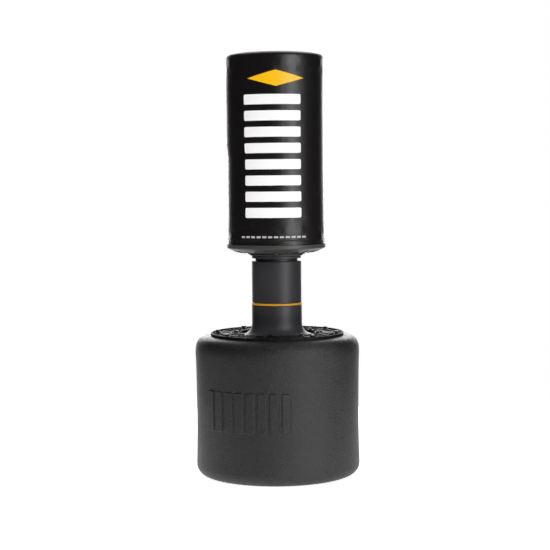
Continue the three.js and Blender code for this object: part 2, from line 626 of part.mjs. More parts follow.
// The bag's side from the plate to the start of the top fillet, drawn in by inset.
function bagSide(inset, bottom, top) {
  return [0, 0.25, 0.5, 0.75, 1].map((share) => [
    BAG_RADIUS - inset - BAG_WAIST_INSET * 4 * share * (1 - share),
    bottom + (top - bottom) * share,
  ]);
}

const filletBottom = TOTAL_HEIGHT - BAG_TOP_FILLET;

function makeFoamSleeve() {
  const bandInner = PLATE_RADIUS - PLATE_BAND_WIDTH - GAP;
  const side = bagSide(COVER_THICKNESS + GAP, COVER_BOTTOM + GAP, filletBottom);
  const below = side.filter(([, height]) => height < CORE_TOP);
  const last = BAG_RADIUS - COVER_THICKNESS - GAP - BAG_WAIST_INSET / 2;
  return turnedRing([
    [CORE_RADIUS + GAP, PLATE_BAND_BOTTOM + 2 * GAP], [bandInner, PLATE_BAND_BOTTOM + 2 * GAP],
    [bandInner, COVER_BOTTOM + GAP],
    ...below,
    [last, CORE_TOP], [CORE_RADIUS + GAP, CORE_TOP],
  ], BAG_FACETS);
}

function makeTopPad() {
  const inset = COVER_THICKNESS + GAP;
  const radius = BAG_RADIUS - inset - BAG_WAIST_INSET / 2;
  const fillet = BAG_TOP_FILLET - inset;
  return turned([
    [0, PAD_BOTTOM],
    [radius, PAD_BOTTOM],
    ...arc(radius - fillet, TOTAL_HEIGHT - inset - fillet, fillet, fillet, 0, 90, 4),
    [0, TOTAL_HEIGHT - inset],
  ], BAG_FACETS);
}

function makeCover() {
  const centre = BAG_RADIUS - BAG_TOP_FILLET;
  const innerFillet = BAG_TOP_FILLET - COVER_THICKNESS;
  const top = TOTAL_HEIGHT;
  return turnedRing([
    ...bagSide(0, COVER_BOTTOM, filletBottom).slice(0, -1),
    ...arc(centre, filletBottom, BAG_TOP_FILLET, BAG_TOP_FILLET, 0, 90, 4),
    [TOP_SEAM_RADIUS, top], [TOP_SEAM_RADIUS, top - COVER_THICKNESS],
    ...arc(centre, filletBottom, innerFillet, innerFillet, 90, 0, 4),
    ...bagSide(COVER_THICKNESS, COVER_BOTTOM, filletBottom).slice(0, -1).reverse(),
  ], BAG_FACETS);
}

addPiece('bag_core', makeCore(), finishes.corePlastic, upperBag);
addPiece('bottom_plate', makePlate(), finishes.platePlastic, upperBag);
spread(PLATE_SCREW_COUNT, 0).forEach((angle, i) => {
  const piece = addPiece(`plate_screw_${i + 1}`, makePlateScrew(), finishes.zincSteel, upperBag);
  piece.position.set(...around(PLATE_SCREW_CIRCLE, angle), 0);
});
addPiece('foam_sleeve', makeFoamSleeve(), finishes.foam, upperBag);
addPiece('foam_top_pad', makeTopPad(), finishes.foam, upperBag);
addPiece('bag_cover', makeCover(), finishes.coverLeather, upperBag);
addPiece('top_panel', rod(
  TOP_SEAM_RADIUS - GAP, TOTAL_HEIGHT - COVER_THICKNESS, TOTAL_HEIGHT, BAG_FACETS,
), finishes.coverLeather, upperBag);

export default bag;
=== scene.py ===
"""A free-standing heavy punch bag: a ballast tank, a flexible ring, a two-piece neck and a padded bag.

Metres, +Z up, -Y is the front. Angles are in degrees from the front, towards +X.
"""

from math import cos, degrees, hypot, pi, radians, sin

import bmesh
import bpy
from mathutils import Matrix, Vector, noise


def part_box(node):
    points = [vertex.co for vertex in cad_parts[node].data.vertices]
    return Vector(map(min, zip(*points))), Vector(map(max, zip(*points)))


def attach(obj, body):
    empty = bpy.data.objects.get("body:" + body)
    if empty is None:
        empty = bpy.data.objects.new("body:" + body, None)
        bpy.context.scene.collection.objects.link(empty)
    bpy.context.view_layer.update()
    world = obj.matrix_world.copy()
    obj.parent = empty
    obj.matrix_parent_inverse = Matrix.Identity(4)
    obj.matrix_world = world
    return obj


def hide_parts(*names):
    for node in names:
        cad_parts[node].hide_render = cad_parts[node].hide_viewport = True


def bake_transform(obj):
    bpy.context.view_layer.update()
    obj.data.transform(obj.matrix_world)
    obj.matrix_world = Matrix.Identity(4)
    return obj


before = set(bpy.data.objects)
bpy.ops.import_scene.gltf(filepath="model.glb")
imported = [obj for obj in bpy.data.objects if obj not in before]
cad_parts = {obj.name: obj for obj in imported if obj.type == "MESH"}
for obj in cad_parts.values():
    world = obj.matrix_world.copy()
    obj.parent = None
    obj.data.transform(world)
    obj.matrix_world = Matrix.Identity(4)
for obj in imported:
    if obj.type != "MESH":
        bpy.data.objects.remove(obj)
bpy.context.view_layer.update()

# ---------------------------------------------------------------- ballast tank
# The round tank that holds the water or sand. It is charcoal polyethylene with a pebbled skin,
# blow-moulded in one piece, with a parting line down each side and raised bars on its front.

TANK_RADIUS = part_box("base_tank")[1].x
TANK_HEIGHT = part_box("base_tank")[1].z
TANK_WALL = 0.006
WAIST_INSET = 0.0035
FOOT_INSET = 0.001
FOOT_FILLET = 0.041
FOOT_RING_WIDTH = 0.045
FOOT_RECESS = 0.010
SHOULDER_DROP = 0.066
SHOULDER_POWER = 0.72
RING_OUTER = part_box("flex_ring")[1].x
SEAT_RADIUS = RING_OUTER - 0.001
WELL_RADIUS = 0.190
WELL_DEPTH = 0.050
BOLT_ANGLES = [45 * turn - 10 for turn in range(8)]


def at(radius, angle, height=0.0):
    """The point at a radius, an angle from the front and a height."""
    return Vector((radius * sin(radians(angle)), -radius * cos(radians(angle)), height))


def arc(centre, across, up, start, end, steps, power=1.0):
    """Points (radius, height) on a quarter of an ellipse; a power below 1 makes it fuller."""
    points = []
    for step in range(steps + 1):
        turn = radians(start + (end - start) * step / steps)
        wide = abs(cos(turn)) ** power * (1 if cos(turn) > 0 else -1)
        high = abs(sin(turn)) ** power * (1 if sin(turn) > 0 else -1)
        points.append((centre[0] + across * wide, centre[1] + up * high))
    return points


def smooth(piece, crease=32):
    piece.data.shade_smooth()
    piece.data.set_sharp_from_angle(angle=radians(crease))


def piece_of(name, mesh):
    bmesh.ops.remove_doubles(mesh, verts=mesh.verts, dist=1e-6)
    bmesh.ops.recalc_face_normals(mesh, faces=mesh.faces)
    data = bpy.data.meshes.new(name)
    mesh.to_mesh(data)
    mesh.free()
    piece = bpy.data.objects.new(name, data)
    bpy.context.scene.collection.objects.link(piece)
    smooth(piece)
    return piece


def evenly(count):
    return [360 * step / count for step in range(count)]


def turned(name, outline, angles, swell=None):
    """Turns a closed outline of (radius, height) points about the axis. swell moves points outwards."""
    mesh = bmesh.new()
    columns = []
    for angle in angles:
        column = []
        for radius, height in outline:
            proud = swell(radius, angle, height) if swell else 0.0
            column.append(mesh.verts.new(at(radius + proud, angle, height)))
        columns.append(column)
    following = [*range(1, len(outline)), 0]
    for column, neighbour in zip(columns, columns[1:] + columns[:1]):
        for low, high in enumerate(following):
            if outline[low][0] > 0 or outline[high][0] > 0:
                mesh.faces.new((column[low], neighbour[low], neighbour[high], column[high]))
    return piece_of(name, mesh)


def together(name, pieces):
    """One piece made of several."""
    mesh = bmesh.new()
    for piece in pieces:
        piece.data.transform(piece.matrix_world)
        mesh.from_mesh(piece.data)
        bpy.data.objects.remove(piece)
    return piece_of(name, mesh)


def shaped_by(piece, tool, operation):
    """Cuts the tool's shape out of the piece, or joins it on, and removes the tool."""
    change = piece.modifiers.new(operation, "BOOLEAN")
    change.operation = operation
    change.solver = "MANIFOLD"
    change.object = tool
    bpy.context.view_layer.update()
    result = piece.evaluated_get(bpy.context.evaluated_depsgraph_get())
    shaped = bpy.data.meshes.new_from_object(result)
    piece.modifiers.clear()
    piece.data = shaped
    bpy.data.objects.remove(tool)
    smooth(piece)


def rod(name, radius, bottom, top, sides=48, chamfer=0.0):
    """A round rod about the axis, its top edge chamfered."""
    outline = [(0, bottom), (radius, bottom), (radius, top - chamfer), (radius - chamfer, top), (0, top)]
    if not chamfer:
        outline.pop(3)
    return turned(name, outline, evenly(sides))


def rods_round(circle, angles, radius, bottom, top, sides=24, chamfer=0.0):
    """Rods on a circle about the axis, as one piece."""
    rods = []
    for angle in angles:
        one = rod("rod", radius, bottom, top, sides, chamfer)
        one.data.transform(Matrix.Translation(at(circle, angle)))
        rods.append(one)
    return together("rods", rods)


RELIEF_BARS = 8
RELIEF_LEFT = -57.0
RELIEF_RIGHT = 10.0
RELIEF_BOTTOM = 0.196
RELIEF_TOP = 0.344
RELIEF_GAP = 0.013
RELIEF_CORNER = 0.007
RELIEF_RAISE = 0.0030
RELIEF_FLANK = 0.0026
RELIEF_MARGIN = 0.006
PARTING_RAISE = 0.0006
PARTING_WIDTH = 0.0016
WAVE_DEPTH = 0.0006
CREST_START = 0.46


def step_up(value, low, high):
    """0 below low, 1 above high, and an even curve between them."""
    share = min(1.0, max(0.0, (value - low) / (high - low)))
    return share * share * (3 - 2 * share)


def relief_height(angle, height):
    """How far the bars on the front stand proud at an angle and a height."""
    pitch = radians(RELIEF_RIGHT - RELIEF_LEFT) * TANK_RADIUS / RELIEF_BARS
    across = radians(angle - RELIEF_LEFT) * TANK_RADIUS
    if not 0 < across < pitch * RELIEF_BARS:
        return 0.0
    sideways = abs(across % pitch - pitch / 2) - (pitch - RELIEF_GAP) / 2 + RELIEF_CORNER
    upwards = abs(height - (RELIEF_TOP + RELIEF_BOTTOM) / 2)
    upwards -= (RELIEF_TOP - RELIEF_BOTTOM) / 2 - RELIEF_CORNER
    outside = hypot(max(sideways, 0), max(upwards, 0)) + min(max(sideways, upwards), 0) - RELIEF_CORNER
    return RELIEF_RAISE * step_up(-outside, -RELIEF_FLANK / 2, RELIEF_FLANK / 2)


def tank_skin(radius, angle, height):
    """The bars, the parting lines and the slight waves of the moulded skin, on the tank's side only."""
    if radius < SEAT_RADIUS:
        return 0.0
    signed = (angle + 180) % 360 - 180
    on_side = step_up(height, 0, FOOT_FILLET)
    on_side *= step_up(-height, -TANK_HEIGHT + SHOULDER_DROP / 4, -CREST_START)
    wave = WAVE_DEPTH * noise.noise(at(5.0, angle, height * 8))
    parting = radians(abs(abs(signed) - 90)) * TANK_RADIUS
    ridge = PARTING_RAISE * step_up(-parting, -PARTING_WIDTH, 0)
    return (wave + ridge) * on_side + relief_height(signed, height)


def side_point(share):
    drawn_in = WAIST_INSET * 4 * share * (1 - share) + FOOT_INSET * (1 - share)
    top = TANK_HEIGHT - SHOULDER_DROP
    return (TANK_RADIUS - drawn_in, FOOT_FILLET + (top - FOOT_FILLET) * share)


def side_shares():
    """Close rows behind the raised bars, wide ones elsewhere."""
    reach = TANK_HEIGHT - SHOULDER_DROP - FOOT_FILLET
    low = (RELIEF_BOTTOM - RELIEF_MARGIN - FOOT_FILLET) / reach
    high = (RELIEF_TOP + RELIEF_MARGIN - FOOT_FILLET) / reach
    shares = []
    for start, end, rows in ((0, low, 14), (low, high, 88), (high, 1, 12)):
        shares += [start + (end - start) * step / rows for step in range(rows)]
    return shares[1:]


foot_radius = TANK_RADIUS - FOOT_INSET
recess_radius = TANK_RADIUS - FOOT_FILLET - FOOT_RING_WIDTH
tank_outline = [
    (0, FOOT_RECESS),
    (recess_radius, FOOT_RECESS),
    (recess_radius + FOOT_RECESS / 4, FOOT_RECESS * 0.85),
    (recess_radius + FOOT_RECESS, 0),
    *arc((foot_radius - FOOT_FILLET, FOOT_FILLET), FOOT_FILLET, FOOT_FILLET, -90, 0, 14),
    *[side_point(share) for share in side_shares()],
    *arc(
        (SEAT_RADIUS, TANK_HEIGHT - SHOULDER_DROP),
        TANK_RADIUS - SEAT_RADIUS, SHOULDER_DROP, 0, 90, 28, SHOULDER_POWER,
    ),
    (WELL_RADIUS + 0.003, TANK_HEIGHT),
    (WELL_RADIUS, TANK_HEIGHT - 0.003),
    (WELL_RADIUS, TANK_HEIGHT - WELL_DEPTH),
    (0, TANK_HEIGHT - WELL_DEPTH),
]
fine_from = round(RELIEF_LEFT - 2)
fine_angles = [fine_from + 0.3 * step for step in range(round((RELIEF_RIGHT + 2 - fine_from) / 0.3))]
parting_angles = [side + 0.15 * step for side in (90, 270) for step in range(-3, 4)]
coarse_angles = [
    angle for angle in range(round(RELIEF_RIGHT + 3), 360 + fine_from, 3)
    if min(abs(angle - 90), abs(angle - 270)) > 1
]
tank_angles = sorted([*fine_angles, *parting_angles, *coarse_angles])
tank = turned("tank_shell", tank_outline, tank_angles, tank_skin)

# The hollow, which leaves the wall, the bosses of the inserts and the boss of the fill opening.
FILL_HEIGHT = (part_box("fill_plug")[0].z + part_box("fill_plug")[1].z) / 2
FILL_BORE = 0.023
FILL_POCKET_RADIUS = 0.040
FILL_POCKET_DEPTH = 0.015
FILL_BOSS_LENGTH = 0.044
INSERT_RADIUS = 0.0086
INSERT_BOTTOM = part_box("ring_insert_1")[0].z
TANK_BOLT_CIRCLE = 0.2295
GAP = 0.0003
OVERSHOOT = 0.01
fill_floor = TANK_RADIUS - FILL_POCKET_DEPTH
laid_back = Matrix.Translation((0, 0, FILL_HEIGHT)) @ Matrix.Rotation(radians(-90), 4, "X")


def at_fill_opening(piece):
    piece.data.transform(laid_back)
    return piece


hollow_top = TANK_HEIGHT - TANK_WALL
hollow_floor = FOOT_RECESS + TANK_WALL
hollow = turned("hollow", [
    (0, hollow_floor),
    (recess_radius, hollow_floor),
    (recess_radius + FOOT_RECESS, TANK_WALL),
    *arc(
        (foot_radius - FOOT_FILLET, FOOT_FILLET),
        FOOT_FILLET - TANK_WALL, FOOT_FILLET - TANK_WALL, -90, 0, 6,
    ),
    *[(radius - TANK_WALL, height) for radius, height in map(side_point, (0.25, 0.5, 0.75))],
    *arc(
        (SEAT_RADIUS, TANK_HEIGHT - SHOULDER_DROP),
        TANK_RADIUS - SEAT_RADIUS - TANK_WALL, SHOULDER_DROP - TANK_WALL, 0, 90, 8, SHOULDER_POWER,
    ),
    (WELL_RADIUS + TANK_WALL, hollow_top),
    (WELL_RADIUS + TANK_WALL, TANK_HEIGHT - WELL_DEPTH - TANK_WALL),
    (0, TANK_HEIGHT - WELL_DEPTH - TANK_WALL),
], evenly(96))
boss_bottom = INSERT_BOTTOM - 2 * TANK_WALL
insert_bosses = rods_round(
    TANK_BOLT_CIRCLE, BOLT_ANGLES, INSERT_RADIUS + TANK_WALL, boss_bottom, TANK_HEIGHT,
)
boss_end = TANK_RADIUS - TANK_WALL
fill_boss = rod("fill_boss", FILL_POCKET_RADIUS + TANK_WALL, boss_end - FILL_BOSS_LENGTH, TANK_RADIUS)
shaped_by(hollow, insert_bosses, "DIFFERENCE")
shaped_by(hollow, at_fill_opening(fill_boss), "DIFFERENCE")
shaped_by(tank, hollow, "DIFFERENCE")
insert_pockets = rods_round(
    TANK_BOLT_CIRCLE, BOLT_ANGLES, INSERT_RADIUS, INSERT_BOTTOM - GAP, TANK_HEIGHT + OVERSHOOT,
)
shaped_by(tank, insert_pockets, "DIFFERENCE")
fill_pocket = turned("fill_pocket", [
    (0, boss_end - FILL_BOSS_LENGTH - OVERSHOOT),
    (FILL_BORE, boss_end - FILL_BOSS_LENGTH - OVERSHOOT),
    (FILL_BORE, fill_floor),
    (FILL_POCKET_RADIUS - 0.002, fill_floor),
    (FILL_POCKET_RADIUS, fill_floor + 0.002),
    (FILL_POCKET_RADIUS, TANK_RADIUS - 0.005),
    (FILL_POCKET_RADIUS + 0.004, TANK_RADIUS),
    (FILL_POCKET_RADIUS + 0.008, TANK_RADIUS + 0.006),
    (0, TANK_RADIUS + 0.006),
], evenly(96))
shaped_by(tank, at_fill_opening(fill_pocket), "DIFFERENCE")


class Wire:
    """A socket of a material's nodes. Sums on it read as Python sums and add the Math nodes."""

    def __init__(self, finish, socket):
        self.finish = finish
        self.socket = socket

    def maths(self, operation, *others):
        return self.finish.maths(operation, self, *others)

    def __add__(self, other):
        return self.maths("ADD", other)

    def __sub__(self, other):
        return self.maths("SUBTRACT", other)

    def __rsub__(self, other):
        return self.finish.maths("SUBTRACT", other, self)

    def __mul__(self, other):
        return self.maths("MULTIPLY", other)

    def __truediv__(self, other):
        return self.maths("DIVIDE", other)

    def __mod__(self, other):
        return self.maths("FLOORED_MODULO", other)

    def __abs__(self):
        return self.maths("ABSOLUTE")

    __radd__ = __add__
    __rmul__ = __mul__

    def out(self, key):
        """Another output of the same node."""
        return Wire(self.finish, self.finish.socket(self.socket.node.outputs, key))


def paint(code):
    """The linear colour of a code such as 1c1819."""
    shares = [int(code[place:place + 2], 16) / 255 for place in (0, 2, 4)]
    return (*[((share + 0.055) / 1.055) ** 2.4 if share > 0.04 else share / 12.92 for share in shares], 1)


class Finish:
    """A material: its shader, and one method that adds any other node."""

    def __init__(self, name, gloss=0.5, metallic=0.0):
        self.material = bpy.data.materials.new(name)
        self.material.use_nodes = True
        self.tree = self.material.node_tree
        self.shader = self.tree.nodes["Principled BSDF"]
        self.shader.inputs["Specular IOR Level"].default_value = gloss
        self.shader.inputs["Metallic"].default_value = metallic
        self.place = self.node("ShaderNodeTexCoord", out="Object")

    def node(self, kind, settings=None, sockets=None, out=None):
        node = self.tree.nodes.new(kind)
        for name, value in (settings or {}).items():
            setattr(node, name, value)
        for key, value in (sockets or {}).items():
            self.join(value, self.socket(node.inputs, key))
        return Wire(self, self.socket(node.outputs, 0 if out is None else out))

    def socket(self, sockets, key):
        shown = [socket for socket in sockets if socket.enabled]
        return shown[key] if isinstance(key, int) else next(s for s in shown if s.name == key)

    def join(self, value, socket):
        if isinstance(value, Wire):
            self.tree.links.new(value.socket, socket)
        else:
            socket.default_value = value

    def maths(self, operation, *values):
        return self.node("ShaderNodeMath", {"operation": operation}, dict(enumerate(values)))

    def feed(self, socket, wire):
        self.join(wire, self.shader.inputs[socket])

    def grain(self, scale, detail=4.0):
        """Cloudy noise from 0 to 1, scale patches to the metre."""
        sockets = {"Vector": self.place, "Scale": scale, "Detail": detail}
        return self.node("ShaderNodeTexNoise", sockets=sockets)

    def cells(self, scale, feature="F1"):
        """The distance in each of scale cells to the metre."""
        sockets = {"Vector": self.place, "Scale": scale}
        return self.node("ShaderNodeTexVoronoi", {"feature": feature}, sockets, out="Distance")

    def between(self, value, low, high, start=0.0, end=1.0):
        """start where the value is at low, end where it is at high, and an even curve between them."""
        settings = {"interpolation_type": "SMOOTHSTEP"}
        return self.node("ShaderNodeMapRange", settings, {0: value, 1: low, 2: high, 3: start, 4: end})

    def blend(self, share, one, other):
        """Colour one where share is 0, and the other where it is 1."""
        return self.node("ShaderNodeMix", {"data_type": "RGBA"}, {"Factor": share, "A": one, "B": other})

    def painted(self, share, one, other):
        """Colours the piece from code one, where share is 0, to the other, where it is 1."""
        self.feed("Base Color", self.blend(share, paint(one), paint(other)))

    def axes(self):
        """The x, y and z of a point of the piece."""
        across = self.node("ShaderNodeSeparateXYZ", sockets={0: self.place})
        return across, across.out(1), across.out(2)

    def raise_by(self, height, distance):
        """Bumps the surface by a height, which is distance metres where it is 1."""
        sockets = {"Height": height, "Distance": distance, "Strength": 1.0}
        self.feed("Normal", self.node("ShaderNodeBump", sockets=sockets))

    def cover(self, *pieces, slot=None):
        for piece in pieces:
            piece.data.materials.clear()
            piece.data.materials.append(self.material)


# The mould's pebbles are about 4 mm across, and handling has polished them. Their colour is painted darker
# between them, as painted shade in the hollows.
tank_plastic = Finish("pebbled_polyethylene", gloss=0.5)
pebbles = tank_plastic.between(tank_plastic.cells(250), 0.1, 0.75, 1.0, 0.0)
dimples = tank_plastic.grain(900, 3)
clouds = tank_plastic.grain(5, 5)
# Painted shade: the colour darkens between the pebbles and is lighter on their tops.
tank_plastic.painted(pebbles * 0.7 + clouds * 0.3, "09080a", "272628")
tank_plastic.feed("Roughness", 0.50 - pebbles * 0.10 + clouds * 0.06)
tank_plastic.raise_by(pebbles + dimples * 0.3, 0.0008)
tank_plastic.cover(tank, slot="tank_plastic")
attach(tank, "base")
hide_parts("base_tank")

# ---------------------------------------------------------------- inserts of the tank's top
# Knurled brass bushes moulded into the tank's bosses. The outer bolts of the ring screw into them.

insert_brass = Finish("knurled_brass", metallic=1.0)
knurls = insert_brass.node(
    "ShaderNodeTexWave", {"bands_direction": "DIAGONAL"},
    {"Vector": insert_brass.place, "Scale": 260.0}, out=1,
)
tarnish = insert_brass.grain(160)
insert_brass.painted(tarnish, "8a6c2c", "c2a050")
insert_brass.feed("Roughness", 0.28 + tarnish * 0.22)
insert_brass.raise_by(knurls, 0.0004)
insert_brass.cover(*[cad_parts[f"ring_insert_{number}"] for number in range(1, 9)])

# ---------------------------------------------------------------- fill plug and its gasket
# The screw plug of the fill opening in the tank's back, moulded in black plastic with a bar to
# turn it by. It presses a flat ring of black rubber against the floor of the opening.

PLUG_FLANGE_RADIUS = 0.033
PLUG_FLANGE_THICKNESS = 0.004
PLUG_SHANK_RADIUS = 0.0224
PLUG_SHANK_LENGTH = 0.030
PLUG_PITCH = 0.006
PLUG_THREAD_DEPTH = 0.0015
PLUG_NOTCHES = 24
BAR_LENGTH = 0.050
BAR_WIDTH = 0.011
BAR_HEIGHT = 0.005
PLUG_NOTCH_DEPTH = 0.0009
PLUG_WALL = 0.004
PLUG_HOLLOW = 0.006
PLUG_CHAMFER = 0.001
PLUG_RIM = 0.005
PLUG_DISH = 0.0006
plug_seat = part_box("plug_gasket")[1].y + GAP


def add_skin(mesh, loops):
    """Closes a skin over loops of points that follow each other, with a flat face on each end."""
    rows = [[mesh.verts.new(point) for point in loop] for loop in loops]
    for row, neighbour in zip(rows, rows[1:]):
        for point in range(len(row)):
            beside = (point + 1) % len(row)
            mesh.faces.new((row[point], row[beside], neighbour[beside], neighbour[point]))
    mesh.faces.new(rows[0][::-1])
    mesh.faces.new(rows[-1])


def stacked(name, loops):
    mesh = bmesh.new()
    add_skin(mesh, loops)
    return piece_of(name, mesh)


def thread_ridge(name, root, crest, pitch, top, bottom, base, tip):
    """A right-hand ridge that winds down from top to bottom and thins out at both ends."""
    turns = (top - bottom) / pitch
    sunk = root - (0.0012 if crest > root else -0.0012)
    loops = []
    for step in range(round(turns * 48) + 1):
        turn = turns * step / round(turns * 48)
        full = 0.1 + 0.9 * step_up(min(turn, turns - turn), 0, 0.15)
        peak = sunk + (crest - sunk) * full
        shoulder = sunk + (peak - sunk) * 0.85
        height = top - pitch * turn
        corners = [
            (sunk, -base / 2), (shoulder, -tip / 2 - 0.0002), (peak, -tip / 3),
            (peak, tip / 3), (shoulder, tip / 2 + 0.0002), (sunk, base / 2),
        ]
        loops.append([at(radius, 90 - 360 * turn, height + offset) for radius, offset in corners])
    return stacked(name, loops)


def rounded_bar(length, width, corner, height, count=6):
    """A loop round a bar with rounded corners."""
    loop = []
    for side_x, side_y, start in ((1, 1, 0), (-1, 1, 90), (-1, -1, 180), (1, -1, 270)):
        for step in range(count + 1):
            turn = radians(start + 90 * step / count)
            loop.append(Vector((
                side_x * (length / 2 - corner) + corner * cos(turn),
                side_y * (width / 2 - corner) + corner * sin(turn),
                height,
            )))
    return loop


def notched(radius, angle, height):
    if radius < PLUG_FLANGE_RADIUS - 1.1 * PLUG_CHAMFER:
        return 0.0
    return -PLUG_NOTCH_DEPTH * (0.5 - 0.5 * cos(radians(angle * PLUG_NOTCHES))) ** 3


plug_top = plug_seat + PLUG_FLANGE_THICKNESS
plug_foot = plug_seat - PLUG_SHANK_LENGTH
plug_root = PLUG_SHANK_RADIUS - PLUG_THREAD_DEPTH
plug = turned("screw_plug", [
    (0, plug_foot + PLUG_HOLLOW), (plug_root - PLUG_WALL, plug_foot + PLUG_HOLLOW),
    (plug_root - PLUG_WALL, plug_foot), (plug_root - PLUG_CHAMFER, plug_foot),
    (plug_root, plug_foot + PLUG_CHAMFER), (plug_root, plug_seat),
    (PLUG_FLANGE_RADIUS - PLUG_DISH, plug_seat), (PLUG_FLANGE_RADIUS, plug_seat + PLUG_DISH),
    (PLUG_FLANGE_RADIUS, plug_top - PLUG_CHAMFER), (PLUG_FLANGE_RADIUS - PLUG_CHAMFER, plug_top),
    (PLUG_FLANGE_RADIUS - PLUG_RIM, plug_top),
    (PLUG_FLANGE_RADIUS - PLUG_RIM - PLUG_DISH, plug_top - PLUG_DISH), (0, plug_top - PLUG_DISH),
], evenly(192), notched)
plug_thread = thread_ridge(
    "plug_thread", plug_root, PLUG_SHANK_RADIUS, PLUG_PITCH,
    plug_seat - PLUG_WALL, plug_foot + 0.003, 0.0034, 0.0012,
)
shaped_by(plug, plug_thread, "UNION")
plug_bar = stacked("plug_bar", [
    rounded_bar(BAR_LENGTH, BAR_WIDTH + 0.002, 0.005, plug_top - 0.001),
    rounded_bar(BAR_LENGTH - 0.0010, BAR_WIDTH + 0.0004, 0.005, plug_top + 0.0004),
    rounded_bar(BAR_LENGTH - 0.0016, BAR_WIDTH, 0.005, plug_top + BAR_HEIGHT - 0.0016),
    rounded_bar(BAR_LENGTH - 0.0024, BAR_WIDTH - 0.0008, 0.0045, plug_top + BAR_HEIGHT - 0.0005),
    rounded_bar(BAR_LENGTH - 0.0044, BAR_WIDTH - 0.0028, 0.0035, plug_top + BAR_HEIGHT),
])
shaped_by(plug, plug_bar, "UNION")
at_fill_opening(plug)

# Injection-moulded black plastic, finely sparked, a little worn on its edges.
plug_plastic = Finish("sparked_black_plastic", gloss=0.45)
sparks = plug_plastic.grain(1400, 3)
scuffs = plug_plastic.grain(70, 6)
plug_plastic.painted(scuffs, "141415", "26262a")
plug_plastic.feed("Roughness", 0.34 + sparks * 0.16 + scuffs * 0.1)
plug_plastic.raise_by(sparks, 0.00006)
plug_plastic.cover(plug, slot="ring_plastic")
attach(plug, "plug")
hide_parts("fill_plug")

seal_rubber = Finish("dusted_seal_rubber", gloss=0.3)
talc = seal_rubber.grain(90, 6)
seal_rubber.painted(talc, "141415", "2e2e30")
seal_rubber.feed("Roughness", 0.70 + talc * 0.2)
seal_rubber.raise_by(seal_rubber.grain(1200, 2), 0.0002)
seal_rubber.cover(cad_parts["plug_gasket"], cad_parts["seat_washer"])

# ---------------------------------------------------------------- flexible ring
# The round ribbed ring that lets the neck sway, moulded in black elastomer. Its outer band
# is bolted to the tank and its inner band to the neck, and the web between them bends.

RING_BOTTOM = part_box("flex_ring")[0].z
RING_INNER = 0.145
INNER_BAND_EDGE = 0.170
WEB_MIDDLE = 0.180
WEB_BEND_START = 0.1915
OUTER_BAND_EDGE = 0.2145
NECK_BOLT_CIRCLE = 0.157
RING_FLOOR = 0.005
RIB_TOP = 0.009
RIM_TOP = 0.0105
SPOKE_WIDTH = 0.012
SPOKE_RAISE = 0.003
SLAT_WIDTH = 0.0044
SLAT_RAISE = 0.0026
RIB_FLANK = 0.0010
SECTOR = 22.5
WEB_SECTOR = SECTOR / 2
BOSS_RAISE = 0.001
TANK_BOSS_RADIUS = 0.0145
NECK_BOSS_RADIUS = 0.0122
BOSS_LAP = 0.0002
BOSS_CHAMFER = 0.0005
BOSS_SIDES = 40
TANK_HOLE = 0.0058
NECK_HOLE = 0.0048
BEAD_TOP = 0.0070
BEAD_SIDE = 0.0066

# (radius, height) of the ring's top from its inner edge to its outer one.
ring_profile = [
    (RING_INNER, RIB_TOP - 0.001), (RING_INNER + 0.001, RIB_TOP),
    (0.149, RIB_TOP), (0.150, RIB_TOP - 0.001), (0.1506, RING_FLOOR),
    (0.163, RING_FLOOR), (INNER_BAND_EDGE, RING_FLOOR), (0.1738, RING_FLOOR),
    (0.1744, RIB_TOP - 0.001), (0.1754, RIB_TOP), (0.1786, RIB_TOP),
    (0.1794, RIB_TOP - 0.001), (WEB_MIDDLE, RING_FLOOR),
    (0.1815, RING_FLOOR), (0.1830, RING_FLOOR),
    (0.1842, BEAD_SIDE), (0.1856, BEAD_TOP), (0.1870, BEAD_SIDE), (0.1882, RING_FLOOR),
    (0.1900, RING_FLOOR), (WEB_BEND_START, RING_FLOOR),
    (0.1962, RING_FLOOR), (0.1974, BEAD_SIDE), (0.1988, BEAD_TOP), (0.2002, BEAD_SIDE), (0.2014, RING_FLOOR),
    (0.2088, RING_FLOOR), (0.2094, RIB_TOP - 0.001), (0.2104, RIB_TOP),
    (0.2130, RIB_TOP), (0.2140, RIB_TOP - 0.001), (OUTER_BAND_EDGE, RING_FLOOR),
    (0.2200, RING_FLOOR), (0.2300, RING_FLOOR), (0.2400, RING_FLOOR), (0.2452, RING_FLOOR),
    (0.2460, RIM_TOP - 0.0012), (0.2472, RIM_TOP), (0.2508, RIM_TOP),
    (0.2524, RIM_TOP - 0.0006), (RING_OUTER, RIM_TOP - 0.0022), (RING_OUTER, 0.0012),
]


def rib_share(offset, width):
    """1 on a rib of that width, 0 off it."""
    return step_up(-abs(offset), -(width + RIB_FLANK) / 2, -(width - RIB_FLANK) / 2)


def ring_top(radius, offset, from_edge, spoke):
    """The top's height at an offset from a sector's middle and from its edge."""
    height = next(h for r, h in ring_profile if r == radius)
    on_web = INNER_BAND_EDGE < radius < OUTER_BAND_EDGE
    if spoke and NECK_BOLT_CIRCLE < radius < TANK_BOLT_CIRCLE:
        height = max(height, RING_FLOOR + SPOKE_RAISE * rib_share(offset, SPOKE_WIDTH))
    if not on_web and RING_INNER + 0.002 < radius < RING_OUTER - 0.002:
        height = max(height, RING_FLOOR + SLAT_RAISE * rib_share(from_edge, SLAT_WIDTH))
        if not spoke:
            height = max(height, RING_FLOOR + SPOKE_RAISE * rib_share(offset, SPOKE_WIDTH / 2))
    return height


